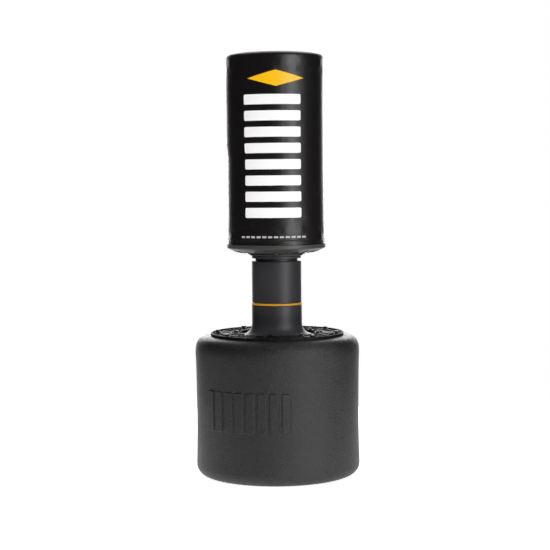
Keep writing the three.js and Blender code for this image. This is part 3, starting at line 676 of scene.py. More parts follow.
def sector_columns(radius, sector):
    """(angle from the middle, offset from it, distance from the nearer edge) across one sector."""
    half_angle = radians(sector / 2)
    half_rib = [
        width / 2 + side * RIB_FLANK / 2
        for width in (SPOKE_WIDTH / 2, SPOKE_WIDTH) for side in (-1, 0, 1)
    ]
    half_slat = [SLAT_WIDTH / 2 + side * RIB_FLANK / 2 for side in (1, 0, -1)]
    offsets = [0, *half_rib]
    reach = half_angle * radius
    offsets += [half_rib[-1] + (reach - half_slat[0] - half_rib[-1]) * step / 5 for step in range(1, 5)]
    offsets += [reach - slat for slat in half_slat] + [reach]
    signed = [-offset for offset in offsets[:0:-1]] + offsets
    return [(degrees(offset / radius), offset, reach - abs(offset)) for offset in signed]


def ring_part(name, inner, outer, middles, sector=SECTOR):
    """The ring between two radii, in the sectors about the given middles."""
    radii = [radius for radius, _ in ring_profile if inner <= radius <= outer]
    whole = len(middles) > 1
    mesh = bmesh.new()
    tops, bottoms = [], []
    for middle, spoke in middles:
        count = len(sector_columns(inner, sector)) - (1 if whole else 0)
        for column in range(count):
            top, bottom = [], []
            for row, radius in enumerate(radii):
                angle, offset, from_edge = sector_columns(radius, sector)[column]
                height = ring_top(radius, offset, from_edge, spoke)
                if row and radii[row] == radii[row - 1]:
                    height = ring_profile[-1][1]
                top.append(mesh.verts.new(at(radius, middle + angle, RING_BOTTOM + height)))
                bottom.append(mesh.verts.new(at(radius, middle + angle, RING_BOTTOM)))
            tops.append(top)
            bottoms.append(bottom)
    following = [*range(1, len(tops)), 0] if whole else range(1, len(tops))
    for here, there in enumerate(following):
        for row in range(len(radii) - 1):
            for grid in (tops, bottoms):
                near, far = grid[here], grid[there]
                mesh.faces.new((near[row], far[row], far[row + 1], near[row + 1]))
        for row in (0, len(radii) - 1):
            mesh.faces.new((tops[here][row], tops[there][row], bottoms[there][row], bottoms[here][row]))
    if not whole:
        for end in (0, len(tops) - 1):
            mesh.faces.new([*tops[end], *bottoms[end][::-1]])
    return piece_of(name, mesh)


def with_bosses(band, circle, boss_radius, hole_radius):
    """Adds the flat bosses that the bolts seat on, clears the ribs over them and bores their holes."""
    boss_top = RING_BOTTOM + RING_FLOOR + BOSS_RAISE
    cut_to = boss_top + 2 * OVERSHOOT
    clearances = rods_round(circle, BOLT_ANGLES, boss_radius, boss_top - BOSS_LAP, cut_to, BOSS_SIDES)
    shaped_by(band, clearances, "DIFFERENCE")
    boss_foot = RING_BOTTOM + 0.4 * RING_FLOOR
    bosses = rods_round(
        circle, BOLT_ANGLES, boss_radius - BOSS_LAP, boss_foot, boss_top, BOSS_SIDES, BOSS_CHAMFER,
    )
    shaped_by(band, bosses, "UNION")
    holes = rods_round(circle, BOLT_ANGLES, hole_radius, RING_BOTTOM - OVERSHOOT, cut_to)
    shaped_by(band, holes, "DIFFERENCE")

sectors = [(BOLT_ANGLES[0] + SECTOR * turn, turn % 2 == 0) for turn in range(16)]
outer_band = ring_part("ring_outer_band", OUTER_BAND_EDGE, RING_OUTER, sectors)
with_bosses(outer_band, TANK_BOLT_CIRCLE, TANK_BOSS_RADIUS, TANK_HOLE)
inner_band = ring_part("ring_inner_band", RING_INNER, INNER_BAND_EDGE, sectors)
with_bosses(inner_band, NECK_BOLT_CIRCLE, NECK_BOSS_RADIUS, NECK_HOLE)

# The elastomer has a dull gloss with a faint orange peel, and dust in its corners.
ring_elastomer = Finish("glossy_elastomer", gloss=0.12)
peel = ring_elastomer.grain(260, 4)
dust = ring_elastomer.grain(28, 6)
ring_elastomer.painted(ring_elastomer.between(dust, 0.45, 0.75), "121112", "242223")
ring_elastomer.feed("Roughness", 0.58 + ring_elastomer.between(dust, 0.4, 0.8) * 0.2)
ring_elastomer.raise_by(peel, 0.00012)
ring_elastomer.cover(outer_band, inner_band, slot="ring_plastic")
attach(outer_band, "base")
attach(inner_band, "neck")
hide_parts("flex_ring")

# The web between the bands is cut into sectors, each made as an outer and an inner piece.
narrowest = cos(radians(WEB_SECTOR / 2))
for number in range(round(360 / WEB_SECTOR)):
    middle = BOLT_ANGLES[0] + WEB_SECTOR * number
    part = [(middle, number % 4 == 0)]
    outer_web = ring_part(f"ring_web_outer_{number}", WEB_MIDDLE, OUTER_BAND_EDGE, part, WEB_SECTOR)
    inner_web = ring_part(f"ring_web_inner_{number}", INNER_BAND_EDGE, WEB_MIDDLE, part, WEB_SECTOR)
    ring_elastomer.cover(outer_web, inner_web, slot="ring_plastic")
    at(WEB_BEND_START * narrowest, middle, RING_BOTTOM)
    at(WEB_MIDDLE, middle, RING_BOTTOM)
    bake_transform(outer_web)
    at(WEB_MIDDLE * narrowest, middle, RING_BOTTOM)
    at(INNER_BAND_EDGE, middle, RING_BOTTOM)
    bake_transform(inner_web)
    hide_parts("flex_ring")
    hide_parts("flex_ring")

# ---------------------------------------------------------------- bolts of the ring
# Flanged hexagon bolts of black zinc-plated steel. The outer eight hold the ring to the tank's
# inserts, and the inner eight hold it to the flange of the neck.

BOLT_SEAT = RING_BOTTOM + RING_FLOOR + BOSS_RAISE + GAP


def ring_loop(radius, height, count=36):
    return [at(radius, 360 * step / count, height) for step in range(count)]


def hexagon_loop(corner_radius, height, count=36):
    """A loop round a hexagon with slightly blunted corners."""
    loop = []
    for step in range(count):
        angle = 360 * step / count
        flat = corner_radius * cos(radians(30)) / cos(radians((angle + 30) % 60 - 30))
        loop.append(at(min(flat, corner_radius * 0.975), angle, height))
    return loop


def flanged_bolt(name, radius, end):
    """A bolt about the axis: its threaded shank, its flange, and its chamfered hexagon."""
    flange = 2.3 * radius
    corner = 1.84 * radius
    head_top = BOLT_SEAT + 2.1 * radius
    pitch = 0.30 * radius
    loops = [ring_loop(radius * 0.75, end), ring_loop(radius * 0.86, end + pitch / 2)]
    height = end + pitch
    while height < BOLT_SEAT - 2 * pitch:
        loops += [ring_loop(radius, height), ring_loop(radius * 0.87, height + pitch / 2)]
        height += pitch
    loops += [
        ring_loop(radius, BOLT_SEAT - pitch), ring_loop(radius, BOLT_SEAT),
        ring_loop(flange * 0.95, BOLT_SEAT), ring_loop(flange, BOLT_SEAT + 0.06 * radius),
        ring_loop(flange, BOLT_SEAT + 0.22 * radius), ring_loop(flange * 0.97, BOLT_SEAT + 0.30 * radius),
        hexagon_loop(corner * 1.04, BOLT_SEAT + 0.52 * radius),
        hexagon_loop(corner, BOLT_SEAT + 0.62 * radius), hexagon_loop(corner, head_top - 0.26 * radius),
        ring_loop(corner * 0.87, head_top - 0.10 * radius), ring_loop(corner * 0.80, head_top),
        ring_loop(corner * 0.66, head_top), ring_loop(corner * 0.62, head_top - 0.07 * radius),
    ]
    return stacked(name, loops)


black_steel = Finish("black_zinc_plate", metallic=0.85)
plate_film = black_steel.grain(240, 5)
black_steel.painted(plate_film, "1c1c1e", "3c3b3a")
black_steel.feed("Roughness", 0.26 + plate_film * 0.24)
black_steel.raise_by(black_steel.grain(1500, 2), 0.00012)


def set_round(pattern, circle, angles, twist, finish, slot, body, node):
    """Copies a pattern round a circle, each copy turned by its angle times twist."""
    for number, angle in enumerate(angles, 1):
        copy = bpy.data.objects.new(f"{pattern.name}_{number}", pattern.data)
        bpy.context.scene.collection.objects.link(copy)
        copy.location = at(circle, angle)
        copy.rotation_euler.z = radians(angle * twist)
        finish.cover(copy, slot=slot)
        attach(copy, body)
        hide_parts(f"{node}_{number}")
    bpy.data.objects.remove(pattern)

outer_bolt = flanged_bolt("outer_bolt", 0.005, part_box("tank_bolt_1")[0].z)
set_round(outer_bolt, TANK_BOLT_CIRCLE, BOLT_ANGLES, 7, black_steel, "black_steel", "base", "tank_bolt")
inner_bolt = flanged_bolt("inner_bolt", 0.004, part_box("neck_bolt_1")[0].z)
set_round(inner_bolt, NECK_BOLT_CIRCLE, BOLT_ANGLES, 7, black_steel, "black_steel", "neck", "neck_bolt")

# ---------------------------------------------------------------- lower neck
# A blow-moulded tube of charcoal polyethylene that flares into a flange under the ring's inner
# band. Eight bolts go through the flange into a tapped steel ring behind it.

NECK_WALL = 0.006
LOWER_RADIUS = 0.0947
FLANGE_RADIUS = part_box("neck_lower")[1].x
FLANGE_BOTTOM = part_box("neck_lower")[0].z
SPLIT_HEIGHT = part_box("neck_lower")[1].z
FLARE_WIDTH = RING_INNER - LOWER_RADIUS
FLARE_HEIGHT = 0.046
FLANGE_THICKNESS = 0.008


def rounded(outline, size, steps=4):
    """Rounds the corners of a closed outline, and keeps its points on the axis."""
    points = [Vector(point) for point in outline]
    result = []
    for number, corner in enumerate(points):
        before = points[number - 1] - corner
        after = points[(number + 1) % len(points)] - corner
        cut = min(size, before.length * 0.45, after.length * 0.45)
        turn = degrees(before.angle(after)) if before.length and after.length else 180
        if corner.x < 1e-6 or turn > 150:
            result.append(tuple(corner))
            continue
        start = corner + before.normalized() * cut
        end = corner + after.normalized() * cut
        if before.length > cut * 5:
            result.append(tuple(corner + before.normalized() * cut * 1.8))
        for step in range(steps + 1):
            share = step / steps
            point = start * (1 - share) ** 2 + corner * 2 * share * (1 - share) + end * share ** 2
            result.append(tuple(point))
        if after.length > cut * 5:
            result.append(tuple(corner + after.normalized() * cut * 1.8))
    return result


def neck_seam(radius, angle, height):
    """The fine parting lines that the mould leaves on both sides of a tube's outside."""
    line = radians(min(abs(angle - 90), abs(angle - 270))) * radius
    return 0.0004 * step_up(-line, -0.0012, 0) if radius > LOWER_RADIUS - 0.003 else 0.0


neck_angles = sorted({
    *[2.5 * step for step in range(144)],
    *[side + 0.35 * step for side in (90, 270) for step in (-2, -1, 1, 2)],
})
inner_radius = LOWER_RADIUS - NECK_WALL
lower_neck = turned("neck_lower_tube", [
    *rounded([
        (RING_INNER - NECK_WALL, FLANGE_BOTTOM), (FLANGE_RADIUS, FLANGE_BOTTOM),
        (FLANGE_RADIUS, TANK_HEIGHT), (RING_INNER + 0.004, TANK_HEIGHT),
    ], 0.0012)[1:],
    *arc((RING_INNER, TANK_HEIGHT + FLARE_HEIGHT), -FLARE_WIDTH, -FLARE_HEIGHT, 90, 0, 28),
    (LOWER_RADIUS, TANK_HEIGHT + 0.070),
    (LOWER_RADIUS, SPLIT_HEIGHT - 0.0045),
    (LOWER_RADIUS - 0.0006, SPLIT_HEIGHT - 0.0034),
    (LOWER_RADIUS - 0.0006, SPLIT_HEIGHT - 0.0008),
    (LOWER_RADIUS - 0.0014, SPLIT_HEIGHT),
    (inner_radius, SPLIT_HEIGHT),
    *arc(
        (RING_INNER - NECK_WALL, TANK_HEIGHT + FLARE_HEIGHT),
        -FLARE_WIDTH, -(FLARE_HEIGHT + FLANGE_THICKNESS), 0, 90, 14,
    ),
], neck_angles, neck_seam)
flange_holes = rods_round(
    NECK_BOLT_CIRCLE, BOLT_ANGLES, NECK_HOLE, FLANGE_BOTTOM - OVERSHOOT, TANK_HEIGHT + OVERSHOOT,
)
shaped_by(lower_neck, flange_holes, "DIFFERENCE")

neck_plastic = Finish("satin_polyethylene", gloss=0.5)
skin = neck_plastic.grain(700, 4)
rubs = neck_plastic.grain(9, 5)
neck_plastic.painted(rubs, "232225", "323134")
neck_plastic.feed("Roughness", 0.42 + skin * 0.12 + rubs * 0.08)
neck_plastic.raise_by(skin, 0.00008)
neck_plastic.cover(lower_neck, slot="neck_plastic")
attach(lower_neck, "neck")
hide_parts("neck_lower")

# ---------------------------------------------------------------- backing ring of the flange
# A flat ring of zinc-plated steel, tapped for the inner bolts. It spreads their pull over the
# underside of the neck's flange.

zinc_steel = Finish("bright_zinc_plate", metallic=1.0)
spangles = zinc_steel.cells(220)
brushing = zinc_steel.grain(500, 6)
zinc_steel.painted(spangles, "6c6e70", "94958f")
zinc_steel.feed("Roughness", 0.26 + brushing * 0.24)
zinc_steel.raise_by(brushing, 0.0001)
zinc_steel.cover(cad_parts["flange_backing_ring"])

# ---------------------------------------------------------------- accent ring
# A narrow ring of amber plastic held in the joint between the two pieces of the neck. It is
# injection-moulded, with rounded edges that stand slightly proud of both tubes.

ACCENT_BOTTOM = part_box("accent_ring")[0].z
ACCENT_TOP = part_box("accent_ring")[1].z
ACCENT_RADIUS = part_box("accent_ring")[1].x
accent = turned("accent_band", rounded([
    (inner_radius + 0.0002, ACCENT_BOTTOM), (ACCENT_RADIUS, ACCENT_BOTTOM),
    (ACCENT_RADIUS, ACCENT_TOP), (inner_radius + 0.0002, ACCENT_TOP),
], 0.0016), evenly(144))
amber_plastic = Finish("amber_plastic", gloss=0.4)
tint = amber_plastic.grain(40, 4)
amber_plastic.painted(tint, "cf9118", "dea026")
amber_plastic.feed("Roughness", 0.42 + tint * 0.16)
amber_plastic.raise_by(amber_plastic.grain(900, 3), 0.00005)
amber_plastic.cover(accent, slot="accent_plastic")
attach(accent, "neck")
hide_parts("accent_ring")

# ---------------------------------------------------------------- upper neck
# The second tube of the neck. A spigot below it is glued in the lower tube, and the coarse
# thread above its shoulder carries the bag.

UPPER_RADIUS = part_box("neck_upper")[1].x
UPPER_BOTTOM = ACCENT_TOP + GAP
SPIGOT_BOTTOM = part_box("neck_upper")[0].z
NECK_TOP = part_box("neck_upper")[1].z
NECK_SHOULDER = 0.812
THREAD_ROOT = 0.0805
THREAD_CREST = 0.0855
THREAD_PITCH = 0.016
RIDGE_BASE = 0.007
RIDGE_TIP = 0.004
NECK_THREAD_BOTTOM = 0.831
UPPER_SEAM_FROM = 0.093
spigot_radius = inner_radius - 0.0005
spigot_inner = spigot_radius - NECK_WALL
upper_inner = UPPER_RADIUS - NECK_WALL
NECK_BORE = THREAD_ROOT - NECK_WALL


def upper_seam(radius, angle, height):
    """The parting lines on the outside of the upper tube alone."""
    return neck_seam(radius, angle, height) if radius > UPPER_SEAM_FROM else 0.0

upper_neck = turned("neck_upper_tube", rounded([
    (spigot_inner, SPIGOT_BOTTOM), (spigot_radius, SPIGOT_BOTTOM),
    (spigot_radius, UPPER_BOTTOM), (UPPER_RADIUS, UPPER_BOTTOM),
    (UPPER_RADIUS, 0.730),
    (UPPER_RADIUS, NECK_SHOULDER), (THREAD_ROOT, NECK_SHOULDER),
    (THREAD_ROOT, NECK_TOP), (NECK_BORE, NECK_TOP),
    (NECK_BORE, NECK_SHOULDER - NECK_WALL), (upper_inner, NECK_SHOULDER - 2 * NECK_WALL),
    (upper_inner, UPPER_BOTTOM + 2 * NECK_WALL), (spigot_inner, UPPER_BOTTOM + NECK_WALL),
], 0.0022), neck_angles, upper_seam)
neck_thread = thread_ridge(
    "neck_thread", THREAD_ROOT, THREAD_CREST, THREAD_PITCH,
    NECK_TOP - RIDGE_BASE, NECK_THREAD_BOTTOM, RIDGE_BASE, RIDGE_TIP,
)
shaped_by(upper_neck, neck_thread, "UNION")
neck_plastic.cover(upper_neck, slot="neck_plastic")
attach(upper_neck, "neck")
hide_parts("neck_upper")

# ---------------------------------------------------------------- core of the bag
# A closed tube of dark polyethylene with a threaded mouth. Two lips stand round the mouth below
# the plate, and the plate is screwed to a flange above them.

CORE_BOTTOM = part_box("bag_core")[0].z
CORE_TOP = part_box("bag_core")[1].z
CORE_RADIUS = 0.100
CORE_WALL = 0.0055
CORE_BORE = THREAD_CREST + 0.0015
LEDGE = NECK_TOP + 0.0066
LIP_RADIUS = CORE_BORE + 0.0065
LIP_WAIST = CORE_BORE + 0.004
UPPER_LIP_RADIUS = 0.1018
PLATE_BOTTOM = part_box("bottom_plate")[0].z
CORE_FLANGE_BOTTOM = 0.8513
CORE_FLANGE_TOP = 0.8573
CORE_FLANGE_RADIUS = 0.140
PLATE_SCREW_CIRCLE = 0.120
CORE_HOLE = 0.0028
SCREW_ANGLES = evenly(6)
core = turned("bag_core_tube", [(0, CORE_TOP - CORE_WALL), *rounded([
    (0, CORE_TOP - CORE_WALL),
    (CORE_RADIUS - CORE_WALL, CORE_TOP - CORE_WALL), (CORE_RADIUS - CORE_WALL, LEDGE + 2 * CORE_WALL),
    (NECK_BORE, LEDGE + CORE_WALL), (NECK_BORE, LEDGE), (CORE_BORE, LEDGE), (CORE_BORE, CORE_BOTTOM),
    (LIP_RADIUS, CORE_BOTTOM), (LIP_RADIUS, CORE_BOTTOM + 0.008),
    (LIP_WAIST, CORE_BOTTOM + 0.0084), (LIP_WAIST, CORE_BOTTOM + 0.0092),
    (UPPER_LIP_RADIUS - 0.0005, CORE_BOTTOM + 0.0108), (UPPER_LIP_RADIUS, PLATE_BOTTOM - 0.0036),
    (CORE_RADIUS, PLATE_BOTTOM - 0.0016),
    (CORE_RADIUS, CORE_FLANGE_BOTTOM), (CORE_FLANGE_RADIUS, CORE_FLANGE_BOTTOM),
    (CORE_FLANGE_RADIUS, CORE_FLANGE_TOP), (CORE_RADIUS, CORE_FLANGE_TOP),
    (CORE_RADIUS, CORE_TOP), (0, CORE_TOP),
], 0.0012)[1:]], evenly(144))
core_thread = thread_ridge(
    "core_thread", CORE_BORE, CORE_BORE - (THREAD_CREST - THREAD_ROOT), THREAD_PITCH,
    NECK_TOP - RIDGE_BASE - THREAD_PITCH / 2, CORE_BOTTOM + 0.016, RIDGE_BASE, RIDGE_TIP,
)
shaped_by(core, core_thread, "UNION")
core_holes = rods_round(
    PLATE_SCREW_CIRCLE, SCREW_ANGLES, CORE_HOLE, CORE_FLANGE_BOTTOM - 0.002, CORE_FLANGE_TOP + 0.002, 20,
)
shaped_by(core, core_holes, "DIFFERENCE")
core_plastic = Finish("dark_polyethylene", gloss=0.45)
flow = core_plastic.grain(14, 6)
core_plastic.painted(flow, "2a2a2c", "454545")
core_plastic.feed("Roughness", 0.46 + flow * 0.16)
core_plastic.raise_by(core_plastic.grain(600, 3), 0.00008)
core_plastic.cover(core, slot="core_plastic")
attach(core, "bag")
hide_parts("bag_core")

# ---------------------------------------------------------------- bottom plate and its screws
# A shallow dish of dark grey plastic that closes the bag from below. Its band shows under the
# cover, thin ribs stiffen its underside, and six pan-head screws hold it to the core's flange.

PLATE_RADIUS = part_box("bottom_plate")[1].x
PLATE_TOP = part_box("bottom_plate")[1].z
PLATE_BAND = 0.014
PLATE_BAND_WIDTH = 0.009
PLATE_WALL = 0.004
PLATE_HOLE = 0.1023
PLATE_RIBS = 24
PLATE_RIB_START = 0.1285
PLATE_RIB_INSET = 0.0185
PLATE_RIB_DEPTH = 0.0026
PLATE_SCREW_HOLE = 0.0033
band_bottom = PLATE_TOP - PLATE_BAND
band_inner = PLATE_RADIUS - PLATE_BAND_WIDTH


def plate_underside(radius):
    """The height of the dish's underside at a radius."""
    knee = PLATE_RADIUS - 4 * PLATE_WALL
    if radius < CORE_FLANGE_RADIUS:
        return PLATE_BOTTOM + PLATE_WALL * (radius - PLATE_HOLE) / (CORE_FLANGE_RADIUS - PLATE_HOLE)
    share = (radius - CORE_FLANGE_RADIUS) / (knee - CORE_FLANGE_RADIUS)
    return PLATE_BOTTOM + PLATE_WALL + (band_bottom - 2 * PLATE_WALL - PLATE_BOTTOM - PLATE_WALL) * share


plate = turned("bottom_dish", rounded([
    (PLATE_HOLE, PLATE_BOTTOM), (CORE_FLANGE_RADIUS, PLATE_BOTTOM + PLATE_WALL),
    (PLATE_RADIUS - 4 * PLATE_WALL, band_bottom - 2 * PLATE_WALL),
    (PLATE_RADIUS, band_bottom), (PLATE_RADIUS, PLATE_TOP), (band_inner, PLATE_TOP),
    (band_inner, band_bottom), (CORE_FLANGE_RADIUS + PLATE_WALL, PLATE_BOTTOM + 2 * PLATE_WALL),
    (PLATE_HOLE, PLATE_BOTTOM + 2 * PLATE_WALL),
], 0.0022), evenly(180))


def plate_rib(angle):
    """A thin rib under the dish, from near its hub to its band."""
    loops = []
    for step in range(9):
        radius = PLATE_RIB_START + (PLATE_RADIUS - PLATE_RIB_INSET - PLATE_RIB_START) * step / 8
        deep = PLATE_RIB_DEPTH * min(1.0, step / 1.5, (8 - step) / 1.5) + 0.0002
        under = plate_underside(radius)
        loops.append([
            at(radius, angle) + at(half, angle + 90, under + height)
            for half, height in ((-0.0012, 0.001), (-0.0009, -deep), (0.0009, -deep), (0.0012, 0.001))
        ])
    return stacked("rib", loops)


plate_ribs = together("plate_ribs", [plate_rib(angle) for angle in evenly(PLATE_RIBS)])
shaped_by(plate, plate_ribs, "UNION")
plate_holes = rods_round(
    PLATE_SCREW_CIRCLE, SCREW_ANGLES, PLATE_SCREW_HOLE, PLATE_BOTTOM - OVERSHOOT, PLATE_TOP, 20,
)
shaped_by(plate, plate_holes, "DIFFERENCE")
plate_plastic = Finish("moulded_grey_plastic", gloss=0.5)
mould = plate_plastic.grain(420, 4)
shade = plate_plastic.grain(11, 4)
plate_plastic.painted(shade, "353534", "454543")
plate_plastic.feed("Roughness", 0.40 + mould * 0.16)
plate_plastic.raise_by(mould, 0.00008)
plate_plastic.cover(plate, slot="plate_plastic")
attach(plate, "bag")
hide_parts("bottom_plate")

SCREW_RADIUS = 0.0025
SCREW_PITCH = 0.0012
screw_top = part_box("plate_screw_1")[1].z
screw_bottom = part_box("plate_screw_1")[0].z
head_top = PLATE_BOTTOM - GAP
screw_loops = [
    ring_loop(0.0034, screw_bottom, 24), ring_loop(0.0044, screw_bottom + 0.0004, 24),
    ring_loop(0.0050, screw_bottom + 0.0012, 24), ring_loop(0.0050, head_top - 0.0002, 24),
    ring_loop(0.0048, head_top, 24), ring_loop(SCREW_RADIUS, head_top, 24),
]
screw_height = head_top + 0.0008
while screw_height < screw_top - SCREW_PITCH:
    screw_loops.append(ring_loop(SCREW_RADIUS * 0.78, screw_height, 24))
    screw_loops.append(ring_loop(SCREW_RADIUS, screw_height + SCREW_PITCH / 2, 24))
    screw_height += SCREW_PITCH
screw_loops.append(ring_loop(SCREW_RADIUS * 0.7, screw_top, 24))
screw = stacked("dish_screw", screw_loops)
for turn in (0, 90):
    recess = stacked("recess", [
        rounded_bar(0.0052, 0.0011, 0.0004, screw_bottom - 0.001, 3),
        rounded_bar(0.0030, 0.0009, 0.0004, screw_bottom + 0.0016, 3),
    ])
    recess.data.transform(Matrix.Rotation(radians(turn), 4, "Z"))
    shaped_by(screw, recess, "DIFFERENCE")
set_round(screw, PLATE_SCREW_CIRCLE, SCREW_ANGLES, 5, zinc_steel, "zinc_steel", "bag", "plate_screw")

# ---------------------------------------------------------------- foam
# A thick sheet of grey foam wrapped round the core, its two ends glued together at the back, and
# a round pad of the same foam on top. Both are soft, and the cover draws them tight.

BAG_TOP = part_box("top_panel")[1].z
COVER_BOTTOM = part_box("bag_cover")[0].z
BAG_RADIUS = 0.1835
BAG_WAIST = 0.003
TOP_FILLET = 0.015
COVER_THICKNESS = 0.0025
FOAM_GAP = 0.0004
PAD_THICKNESS = 0.036
FOAM_PITS = 0.0004
FOAM_JOINT = 0.0012
fillet_bottom = BAG_TOP - TOP_FILLET


def bag_radius(height):
    """The outside of the cover at a height, with its slight waist."""
    share = min(1.0, max(0.0, (height - COVER_BOTTOM) / (fillet_bottom - COVER_BOTTOM)))
    return BAG_RADIUS - BAG_WAIST * 4 * share * (1 - share)


def foam_skin(radius, angle, height):
    """Soft unevenness of cut foam, and the glued joint at the back."""
    if radius < BAG_RADIUS * 0.6:
        return 0.0
    joint = radians(abs((angle + 180) % 360 - 180) - 180) * radius
    pits = FOAM_PITS * abs(noise.noise(at(9.0, angle, height * 40)))
    return -GAP - pits - FOAM_JOINT * step_up(-abs(joint), -0.003, 0)


def rows_between(bottom, top, count):
    return [bottom + (top - bottom) * step / count for step in range(count + 1)]


inset = COVER_THICKNESS + FOAM_GAP
foam_top = CORE_TOP
foam_foot = band_bottom + 0.0008
sleeve_foot = band_inner - 0.0006
foam_sleeve = turned("foam_wrap", [
    (CORE_RADIUS + 0.0004, foam_foot), (sleeve_foot - 0.003, foam_foot), (sleeve_foot, foam_foot + 0.003),
    (sleeve_foot, COVER_BOTTOM + 0.0008), (bag_radius(COVER_BOTTOM) - inset, COVER_BOTTOM + 0.0012),
    *[
        (bag_radius(height) - inset, height)
        for height in rows_between(COVER_BOTTOM + 0.004, foam_top - 0.004, 60)
    ],
    (bag_radius(foam_top) - inset - 0.0012, foam_top - 0.001),
    (bag_radius(foam_top) - inset - 0.004, foam_top), (CORE_RADIUS + 0.0004, foam_top),
], evenly(96), foam_skin)
pad_bottom = BAG_TOP - COVER_THICKNESS - GAP - PAD_THICKNESS
pad_radius = bag_radius(foam_top) - inset
pad_fillet = TOP_FILLET - inset + 0.004
foam_pad = turned("foam_pad", [
    (0, pad_bottom), (pad_radius * 0.5, pad_bottom), (pad_radius - 0.004, pad_bottom),
    (pad_radius - 0.001, pad_bottom + 0.001), (pad_radius, pad_bottom + 0.004),
    *arc((pad_radius - pad_fillet, BAG_TOP - inset - pad_fillet), pad_fillet, pad_fillet, 0, 90, 10),
    (pad_radius * 0.6, BAG_TOP - inset), (pad_radius * 0.3, BAG_TOP - inset), (0, BAG_TOP - inset),
], evenly(96), foam_skin)
foam = Finish("open_cell_foam", gloss=0.15)
pores = foam.between(foam.cells(420), 0.15, 0.6)
yellowing = foam.grain(12, 5)
# Painted shade: the pores are painted darker than the cell walls round them, and the yellowing is the foam's
# own tone.
foam.painted(pores * 0.5 + yellowing * 0.5, "6f7072", "a3a39e")
foam.feed("Roughness", 0.86 + pores * 0.1)
foam.raise_by(pores, 0.0008)
foam.cover(foam_sleeve, foam_pad, slot="foam")
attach(foam_sleeve, "bag")
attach(foam_pad, "bag")
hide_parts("foam_sleeve")
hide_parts("foam_top_pad")

# ---------------------------------------------------------------- cover
# Black synthetic leather sewn into a sleeve and drawn over the foam, printed in white and amber
# on its front. Its lapped seam runs down the back, and its foot is hemmed above the plate.

TOP_SEAM_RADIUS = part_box("top_panel")[1].x + GAP
SEAM_WIDTH = 0.024
SEAM_RAISE = 0.0012
HEM_HEIGHT = 0.012
SLUMP = 0.0045
SLUMP_RISES = (1.19, 1.26)
SLUMP_FADES = 1.45
HALF_SEAM = degrees(SEAM_WIDTH / 2 / BAG_RADIUS)


DRAPE_COLUMNS = 120
DRAPE_ROWS = 64
DRAPE_FRAMES = 20
DRAPE_SLACK = 0.002
DRAPE_OUT = 0.0030
DRAPE_IN = -0.0008
drape_bottom = COVER_BOTTOM + HEM_HEIGHT


def draped():
    """Draws the cut leather over the foam by simulation, sewn at the hem, the top and the back.

    Gives how far it ends up off its pattern, for each row and column.
    """
    heights = rows_between(drape_bottom, fillet_bottom, DRAPE_ROWS)
    angles = evenly(DRAPE_COLUMNS)
    mesh = bmesh.new()
    grid = [
        [mesh.verts.new(at(bag_radius(height), angle, height)) for angle in angles]
        for height in heights
    ]
    for low, high in zip(grid, grid[1:]):
        for column in range(DRAPE_COLUMNS):
            beside = (column + 1) % DRAPE_COLUMNS
            mesh.faces.new((low[column], low[beside], high[beside], high[column]))
    pattern = bpy.data.meshes.new("pattern")
    mesh.to_mesh(pattern)
    mesh.free()
    sleeve = bpy.data.objects.new("pattern", pattern)
    bpy.context.scene.collection.objects.link(sleeve)
    sewn = sleeve.vertex_groups.new(name="sewn")
    for number in range(len(pattern.vertices)):
        row, column = divmod(number, DRAPE_COLUMNS)
        if row in (0, DRAPE_ROWS) or abs(angles[column] - 180) < HALF_SEAM:
            sewn.add([number], 1.0, "REPLACE")
    cloth = sleeve.modifiers.new("Cloth", "CLOTH")
    leather_sheet = cloth.settings
    leather_sheet.quality = 6
    leather_sheet.mass = 0.4
    leather_sheet.tension_stiffness = 20
    leather_sheet.compression_stiffness = 20
    leather_sheet.shear_stiffness = 8
    leather_sheet.bending_stiffness = 1.5
    leather_sheet.vertex_group_mass = "sewn"
    leather_sheet.use_pressure = True
    leather_sheet.uniform_pressure_force = 4
    leather_sheet.shrink_min = -DRAPE_SLACK
    leather_sheet.effector_weights.gravity = 0
    for moment in range(1, DRAPE_FRAMES + 1):
        bpy.context.scene.frame_set(moment)
    result = bpy.data.meshes.new_from_object(sleeve.evaluated_get(bpy.context.evaluated_depsgraph_get()))
    stands_off = [
        [
            hypot(*result.vertices[row * DRAPE_COLUMNS + column].co.xy) - bag_radius(height)
            for column in range(DRAPE_COLUMNS)
        ]
        for row, height in enumerate(heights)
    ]
    bpy.data.objects.remove(sleeve)
    bpy.context.scene.frame_set(1)
    return [[min(DRAPE_OUT, max(DRAPE_IN, off)) for off in row] for row in stands_off]


drape = draped()


def draped_off(angle, height):
    """How far the draped leather stands off at an angle and a height, between its nearest points."""
    across = angle % 360 / 360 * DRAPE_COLUMNS
    up = (height - drape_bottom) / (fillet_bottom - drape_bottom) * DRAPE_ROWS
    up = min(max(up, 0.0), DRAPE_ROWS - 0.001)
    column, row = int(across), int(up)
    beside = (column + 1) % DRAPE_COLUMNS
    column %= DRAPE_COLUMNS
    low = drape[row][column] * (1 - across % 1) + drape[row][beside] * (across % 1)
    high = drape[row + 1][column] * (1 - across % 1) + drape[row + 1][beside] * (across % 1)
    return low * (1 - up % 1) + high * (up % 1)


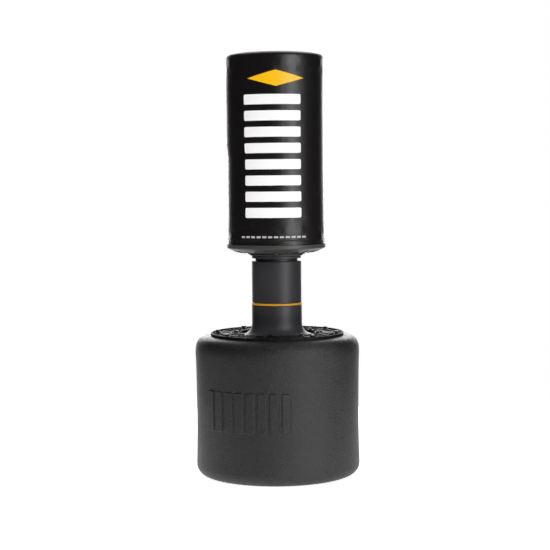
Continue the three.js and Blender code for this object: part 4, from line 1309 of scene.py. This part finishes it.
def leather_skin(radius, angle, height):
    """The draped leather, with its hem, the lap of its seam and the pull of the sewing thread."""
    if height > fillet_bottom + TOP_FILLET * 0.8:
        return 0.0
    signed = (angle + 180) % 360 - 180
    from_seam = radians(180 - abs(signed)) * BAG_RADIUS
    above_hem = height - COVER_BOTTOM
    hem = 0.0005 * step_up(-above_hem, -HEM_HEIGHT - 0.001, -HEM_HEIGHT)
    pull = -0.0010 * step_up(-abs(above_hem - HEM_HEIGHT), -0.008, 0)
    lap = SEAM_RAISE * step_up(-from_seam, -SEAM_WIDTH / 2, -SEAM_WIDTH / 2 + 0.0015)
    draw = -0.0010 * step_up(-abs(from_seam - SEAM_WIDTH / 2 + 0.004), -0.006, 0)
    slump = SLUMP * step_up(height, *SLUMP_RISES) * step_up(-height, -fillet_bottom, -SLUMP_FADES)
    slump *= max(0.0, cos(radians(angle + 80))) ** 0.7
    return draped_off(angle, height) + hem + pull + lap + draw + slump


cover_rows = rows_between(COVER_BOTTOM + 0.0015, COVER_BOTTOM + 0.024, 15)
cover_rows += rows_between(COVER_BOTTOM + 0.030, fillet_bottom - 0.004, 84)
fillet_centre = BAG_RADIUS - TOP_FILLET
inner_fillet = TOP_FILLET - COVER_THICKNESS
cover_outline = [
    (bag_radius(COVER_BOTTOM) - 0.0007, COVER_BOTTOM),
    (bag_radius(COVER_BOTTOM) - 0.0001, COVER_BOTTOM + 0.0006),
    *[(bag_radius(height), height) for height in cover_rows],
    *arc((fillet_centre, fillet_bottom), TOP_FILLET, TOP_FILLET, 0, 90, 14),
    (TOP_SEAM_RADIUS + 0.001, BAG_TOP - 0.0003), (TOP_SEAM_RADIUS, BAG_TOP - 0.0012),
    (TOP_SEAM_RADIUS, BAG_TOP - COVER_THICKNESS),
    *arc((fillet_centre, fillet_bottom), inner_fillet, inner_fillet, 90, 0, 10),
    *[(bag_radius(height) - COVER_THICKNESS, height) for height in cover_rows[::-4]],
    (bag_radius(COVER_BOTTOM) - COVER_THICKNESS, COVER_BOTTOM),
]
cover_angles = sorted({
    *[2.0 * step for step in range(180)],
    *[180 + side * (HALF_SEAM - 0.5 + 0.25 * step) for side in (-1, 1) for step in range(5)],
})
cover = turned("leather_cover", cover_outline, cover_angles, leather_skin)


def panel_mask(finish, across, up, half_width, half_height, corner, soft=0.0005):
    """1 inside a rounded rectangle about the place where across and up are 0."""
    wide = (abs(across) - (half_width - corner)).maths("MAXIMUM", 0.0)
    tall = (abs(up) - (half_height - corner)).maths("MAXIMUM", 0.0)
    outside = (wide * wide + tall * tall).maths("SQRT")
    return finish.between(outside, corner - soft, corner + soft, 1.0, 0.0)


leather = Finish("printed_leather", gloss=0.42)
PRINT_SHIFT = 0.012
leather_x, leather_y, leather_z = leather.axes()
turn = leather_x.maths("ARCTAN2", leather_y * -1.0)
round_front = turn * BAG_RADIUS + PRINT_SHIFT
PRINT_BARS = 8
PRINT_BOTTOM = 0.979
PRINT_PITCH = 0.0595
PRINT_BAR = 0.037
PRINT_HALF_WIDTH = 0.111
PRINT_CORNER = 0.006
above_print = leather_z - (PRINT_BOTTOM - (PRINT_PITCH - PRINT_BAR) / 2)
in_bar = above_print % PRINT_PITCH - PRINT_PITCH / 2
bars = panel_mask(leather, round_front, in_bar, PRINT_HALF_WIDTH, PRINT_BAR / 2, PRINT_CORNER)
row_reach = PRINT_BARS * PRINT_PITCH / 2
in_row = leather.between(abs(above_print - row_reach), row_reach, row_reach + 0.0005, 1.0, 0.0)
LOZENGE_SHIFT = 0.015
LOZENGE_HEIGHT = 1.491
LOZENGE_HALF_WIDTH = 0.110
LOZENGE_HALF_HEIGHT = 0.030
sideways = abs(round_front - LOZENGE_SHIFT) / LOZENGE_HALF_WIDTH
upwards = abs(leather_z - LOZENGE_HEIGHT) / LOZENGE_HALF_HEIGHT
lozenge = leather.between(sideways + upwards, 0.985, 1.015, 1.0, 0.0)
DASH_HEIGHT = 0.908
DASH_PITCH = 0.022
DASH_COUNT = 12
in_dash = (round_front + DASH_COUNT * DASH_PITCH / 2) % DASH_PITCH - DASH_PITCH / 2
dashes = panel_mask(leather, in_dash, leather_z - DASH_HEIGHT, 0.0078, 0.0036, 0.0014)
dash_reach = DASH_COUNT * DASH_PITCH / 2
dashes = dashes * leather.between(abs(round_front), dash_reach, dash_reach + 0.0004, 1.0, 0.0)
white_print = bars * in_row
worn = leather.grain(60, 6)
hide = leather.cells(620)
valleys = leather.between(leather.cells(480, "DISTANCE_TO_EDGE"), 0.0, 0.12)
tone = leather.blend(worn, paint("0f0d0e"), paint("181516"))
tone = leather.blend(white_print, tone, paint("fefefe"))
tone = leather.blend(dashes, tone, paint("b9b9b8"))
tone = leather.blend(lozenge, tone, paint("ffc30c"))
leather.feed("Base Color", tone)
printed = (white_print + lozenge).maths("MINIMUM", 1.0)
leather.feed("Roughness", 0.32 + worn * 0.10 - valleys * 0.03 + printed * 0.12)
leather.raise_by(valleys * (1 - printed * 0.6) + hide * 0.2, 0.00007)
leather.cover(cover, slot="cover_leather")
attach(cover, "bag")
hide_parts("bag_cover")

# ---------------------------------------------------------------- top panel and its piping
# A round panel of the same leather, sewn into the top of the cover over a narrow piping. Handling
# has worn both dull. The stitches here and on the cover are of black bonded thread.

PIPING = 0.0024
PANEL_CROWN = 0.0025
STITCH_LENGTH = 0.0032
STITCH_PITCH = 0.0050
STITCH_THICK = 0.0005
PANEL_STITCH_INSET = 0.0075
EDGE_STITCH_OUTSET = 0.006
UPWARDS = Vector((0, 0, 1))
panel_radius = TOP_SEAM_RADIUS - 0.0004
panel_bottom = BAG_TOP - COVER_THICKNESS


def crowned(radius):
    share = radius / panel_radius
    return BAG_TOP + PANEL_CROWN * (1 - share ** 2) ** 0.8 - 0.0004


def panel_sag(mesh_point):
    return 0.0005 * noise.noise(mesh_point * 14)


panel_radii = [panel_radius * step / 28 for step in range(28)]
top_panel = turned("cover_top_panel", [
    (0, panel_bottom), (panel_radius * 0.9, panel_bottom), (panel_radius, panel_bottom),
    (panel_radius, BAG_TOP - 0.0012), (panel_radius - 0.0008, crowned(panel_radius - 0.0008)),
    *[(radius, crowned(radius)) for radius in panel_radii[:0:-1]], (0, crowned(0)),
], evenly(128))
for point in top_panel.data.vertices:
    if point.co.z > BAG_TOP:
        point.co.z += panel_sag(point.co)
plain_leather = Finish("plain_leather", gloss=0.1)
plain_worn = plain_leather.grain(60, 6)
plain_valleys = plain_leather.between(plain_leather.cells(480, "DISTANCE_TO_EDGE"), 0.0, 0.12)
plain_leather.painted(plain_worn, "0f0d0e", "181516")
plain_leather.feed("Roughness", 0.70 + plain_worn * 0.12 - plain_valleys * 0.03)
plain_leather.raise_by(plain_valleys, 0.00007)
piping = turned("cover_piping", [
    (TOP_SEAM_RADIUS + PIPING * cos(radians(36 * step)), BAG_TOP - 0.0002 + PIPING * sin(radians(36 * step)))
    for step in range(10)
], evenly(180))
plain_leather.cover(top_panel, piping, slot="cover_leather")
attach(top_panel, "bag")
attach(piping, "bag")
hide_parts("top_panel")


def stitch(middle, along, out):
    """One stitch: a short thread that dips into the leather at both ends."""
    along, out = along.normalized(), out.normalized()
    side = along.cross(out)
    loops = []
    for step in range(5):
        share = step / 4 * 2 - 1
        thick = STITCH_THICK * (1 - 0.35 * share * share)
        centre = middle + along * share * STITCH_LENGTH / 2 + out * (STITCH_THICK * (0.9 - 1.7 * share ** 4))
        loops.append([
            centre + (side * cos(radians(60 * turn)) + out * sin(radians(60 * turn))) * thick
            for turn in range(6)
        ])
    return loops


def stitched(name, places):
    """A row of stitches as one piece, from their (middle, along, out)."""
    mesh = bmesh.new()
    for place in places:
        add_skin(mesh, stitch(*place))
    return piece_of(name, mesh)


def ring_of_stitches(name, radius, height):
    """Stitches round the bag's top at a radius and a height."""
    angles = evenly(round(2 * pi * radius / STITCH_PITCH))
    return stitched(name, [(at(radius, angle, height), at(1, angle + 90), UPWARDS) for angle in angles])


def on_cover(height, angle):
    """The point of the cover's outside at a height and an angle."""
    radius = bag_radius(height) + leather_skin(bag_radius(height), angle, height)
    return at(radius, angle, height)

stitch_radius = TOP_SEAM_RADIUS - PANEL_STITCH_INSET
panel_stitches = ring_of_stitches("panel_stitches", stitch_radius, crowned(stitch_radius) + 0.0002)
edge_stitches = ring_of_stitches("edge_stitches", TOP_SEAM_RADIUS + EDGE_STITCH_OUTSET, BAG_TOP)
hem_height = COVER_BOTTOM + HEM_HEIGHT - 0.0035
hem_stitches = stitched("hem_stitches", [
    (on_cover(hem_height, angle), at(1, angle + 90), at(1, angle))
    for angle in evenly(round(2 * pi * BAG_RADIUS / STITCH_PITCH))
])
seam_places = []
for side in (-1, 1):
    seam_angle = 180 + side * degrees((SEAM_WIDTH / 2 - 0.004) / BAG_RADIUS)
    for number in range(round((fillet_bottom - COVER_BOTTOM - 0.02) / STITCH_PITCH)):
        height = COVER_BOTTOM + 0.016 + STITCH_PITCH * number
        seam_places.append((on_cover(height, seam_angle), UPWARDS, at(1, seam_angle)))
seam_stitches = stitched("seam_stitches", seam_places)
sewing_thread = Finish("bonded_thread", gloss=0.4)
plies = sewing_thread.node("ShaderNodeTexWave", None, {"Vector": sewing_thread.place, "Scale": 900.0}, out=1)
# Painted shade: the grooves between the plies are painted darker than their crowns.
sewing_thread.painted(plies, "1b1a1b", "38363a")
sewing_thread.feed("Roughness", 0.5 + plies * 0.15)
sewing_thread.raise_by(plies, 0.0001)
for stitches in (panel_stitches, edge_stitches, hem_stitches, seam_stitches):
    sewing_thread.cover(stitches, slot="cover_leather")
    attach(stitches, "bag")

# ---------------------------------------------------------------- floor, light and camera
# A plain white studio floor under a white backdrop. A tall soft box stands to the right of the
# camera, a wide one lights the edges from behind, one high on the left fills, one hangs overhead.

floor = stacked("studio_floor", [
    [at(1.7, angle, height) for angle in evenly(96)] for height in (-0.02, -0.0005)
])
floor_finish = Finish("studio_floor_paint", gloss=0.1)
floor_mottle = floor_finish.grain(3, 3)
floor_finish.painted(floor_mottle, "d6d6d6", "dadada")
floor_finish.shader.inputs["Roughness"].default_value = 0.8
floor_finish.shader.inputs["Emission Color"].default_value = paint("ffffff")
floor_finish.shader.inputs["Emission Strength"].default_value = 0.80
floor_finish.cover(floor)

world = bpy.data.worlds.new("studio")
bpy.context.scene.world = world
world.use_nodes = True
studio = world.node_tree
backdrop = studio.nodes["Background"]
direction = studio.nodes.new("ShaderNodeTexCoord")
split = studio.nodes.new("ShaderNodeSeparateXYZ")
towards_back = studio.nodes.new("ShaderNodeMapRange")
towards_back.interpolation_type = "SMOOTHSTEP"
seen = studio.nodes.new("ShaderNodeLightPath")
shown = studio.nodes.new("ShaderNodeMapRange")
backdrop.inputs["Color"].default_value = (1, 1, 1, 1)
towards_back.inputs["From Min"].default_value = 0.8
towards_back.inputs["From Max"].default_value = 1.0
towards_back.inputs["To Min"].default_value = 0.015
towards_back.inputs["To Max"].default_value = 2.6
studio.links.new(direction.outputs["Generated"], split.inputs[0])
studio.links.new(split.outputs["Y"], towards_back.inputs["Value"])
shown.inputs["To Max"].default_value = 1.0
studio.links.new(towards_back.outputs["Result"], shown.inputs["To Min"])
studio.links.new(seen.outputs["Is Camera Ray"], shown.inputs["Value"])
studio.links.new(shown.outputs["Result"], backdrop.inputs["Strength"])


def soft_box(name, angle, distance, height, aim_height, width, tall, watts, mirrored=True):
    """A rectangular light at an angle round the bag, turned towards its axis."""
    light = bpy.data.lights.new(name, "AREA")
    light.shape = "RECTANGLE"
    light.size = width
    light.size_y = tall
    light.energy = watts
    lamp = bpy.data.objects.new(name, light)
    lamp.location = at(distance, angle, height)
    aim = Vector((0, 0, aim_height)) - lamp.location
    lamp.rotation_euler = aim.to_track_quat("-Z", "Y").to_euler()
    lamp.visible_camera = False
    lamp.visible_glossy = mirrored
    bpy.context.scene.collection.objects.link(lamp)


soft_box("key_box", 41, 3.0, 1.45, 0.95, 0.5, 2.7, 76)
soft_box("back_box", 180, 3.0, 1.25, 0.7, 2.4, 1.1, 60)
soft_box("fill_box", -65, 3.4, 2.8, 0.7, 1.6, 1.4, 96, mirrored=False)
soft_box("top_box", 175, 0.9, 3.2, 0.6, 2.4, 2.0, 40)

# The camera stands 5.6 m in front of the bag at chest height and looks slightly down.
CAMERA_LENS = 97.2
CAMERA_DISTANCE = 5.6417
CAMERA_HEIGHT = 1.1069
CAMERA_OFFSET = -0.0062
CAMERA_PITCH = 3.544
CAMERA_ROLL = -0.53
camera = bpy.data.objects.new("camera", bpy.data.cameras.new("camera"))
camera.data.lens = CAMERA_LENS
camera.data.sensor_width = 36
camera.location = (CAMERA_OFFSET, -CAMERA_DISTANCE, CAMERA_HEIGHT)
camera.rotation_euler = (
    Matrix.Rotation(radians(90 - CAMERA_PITCH), 4, "X") @ Matrix.Rotation(radians(CAMERA_ROLL), 4, "Z")
).to_euler()
bpy.context.scene.collection.objects.link(camera)
bpy.context.scene.camera = camera
bpy.context.scene.view_settings.view_transform = "Standard"
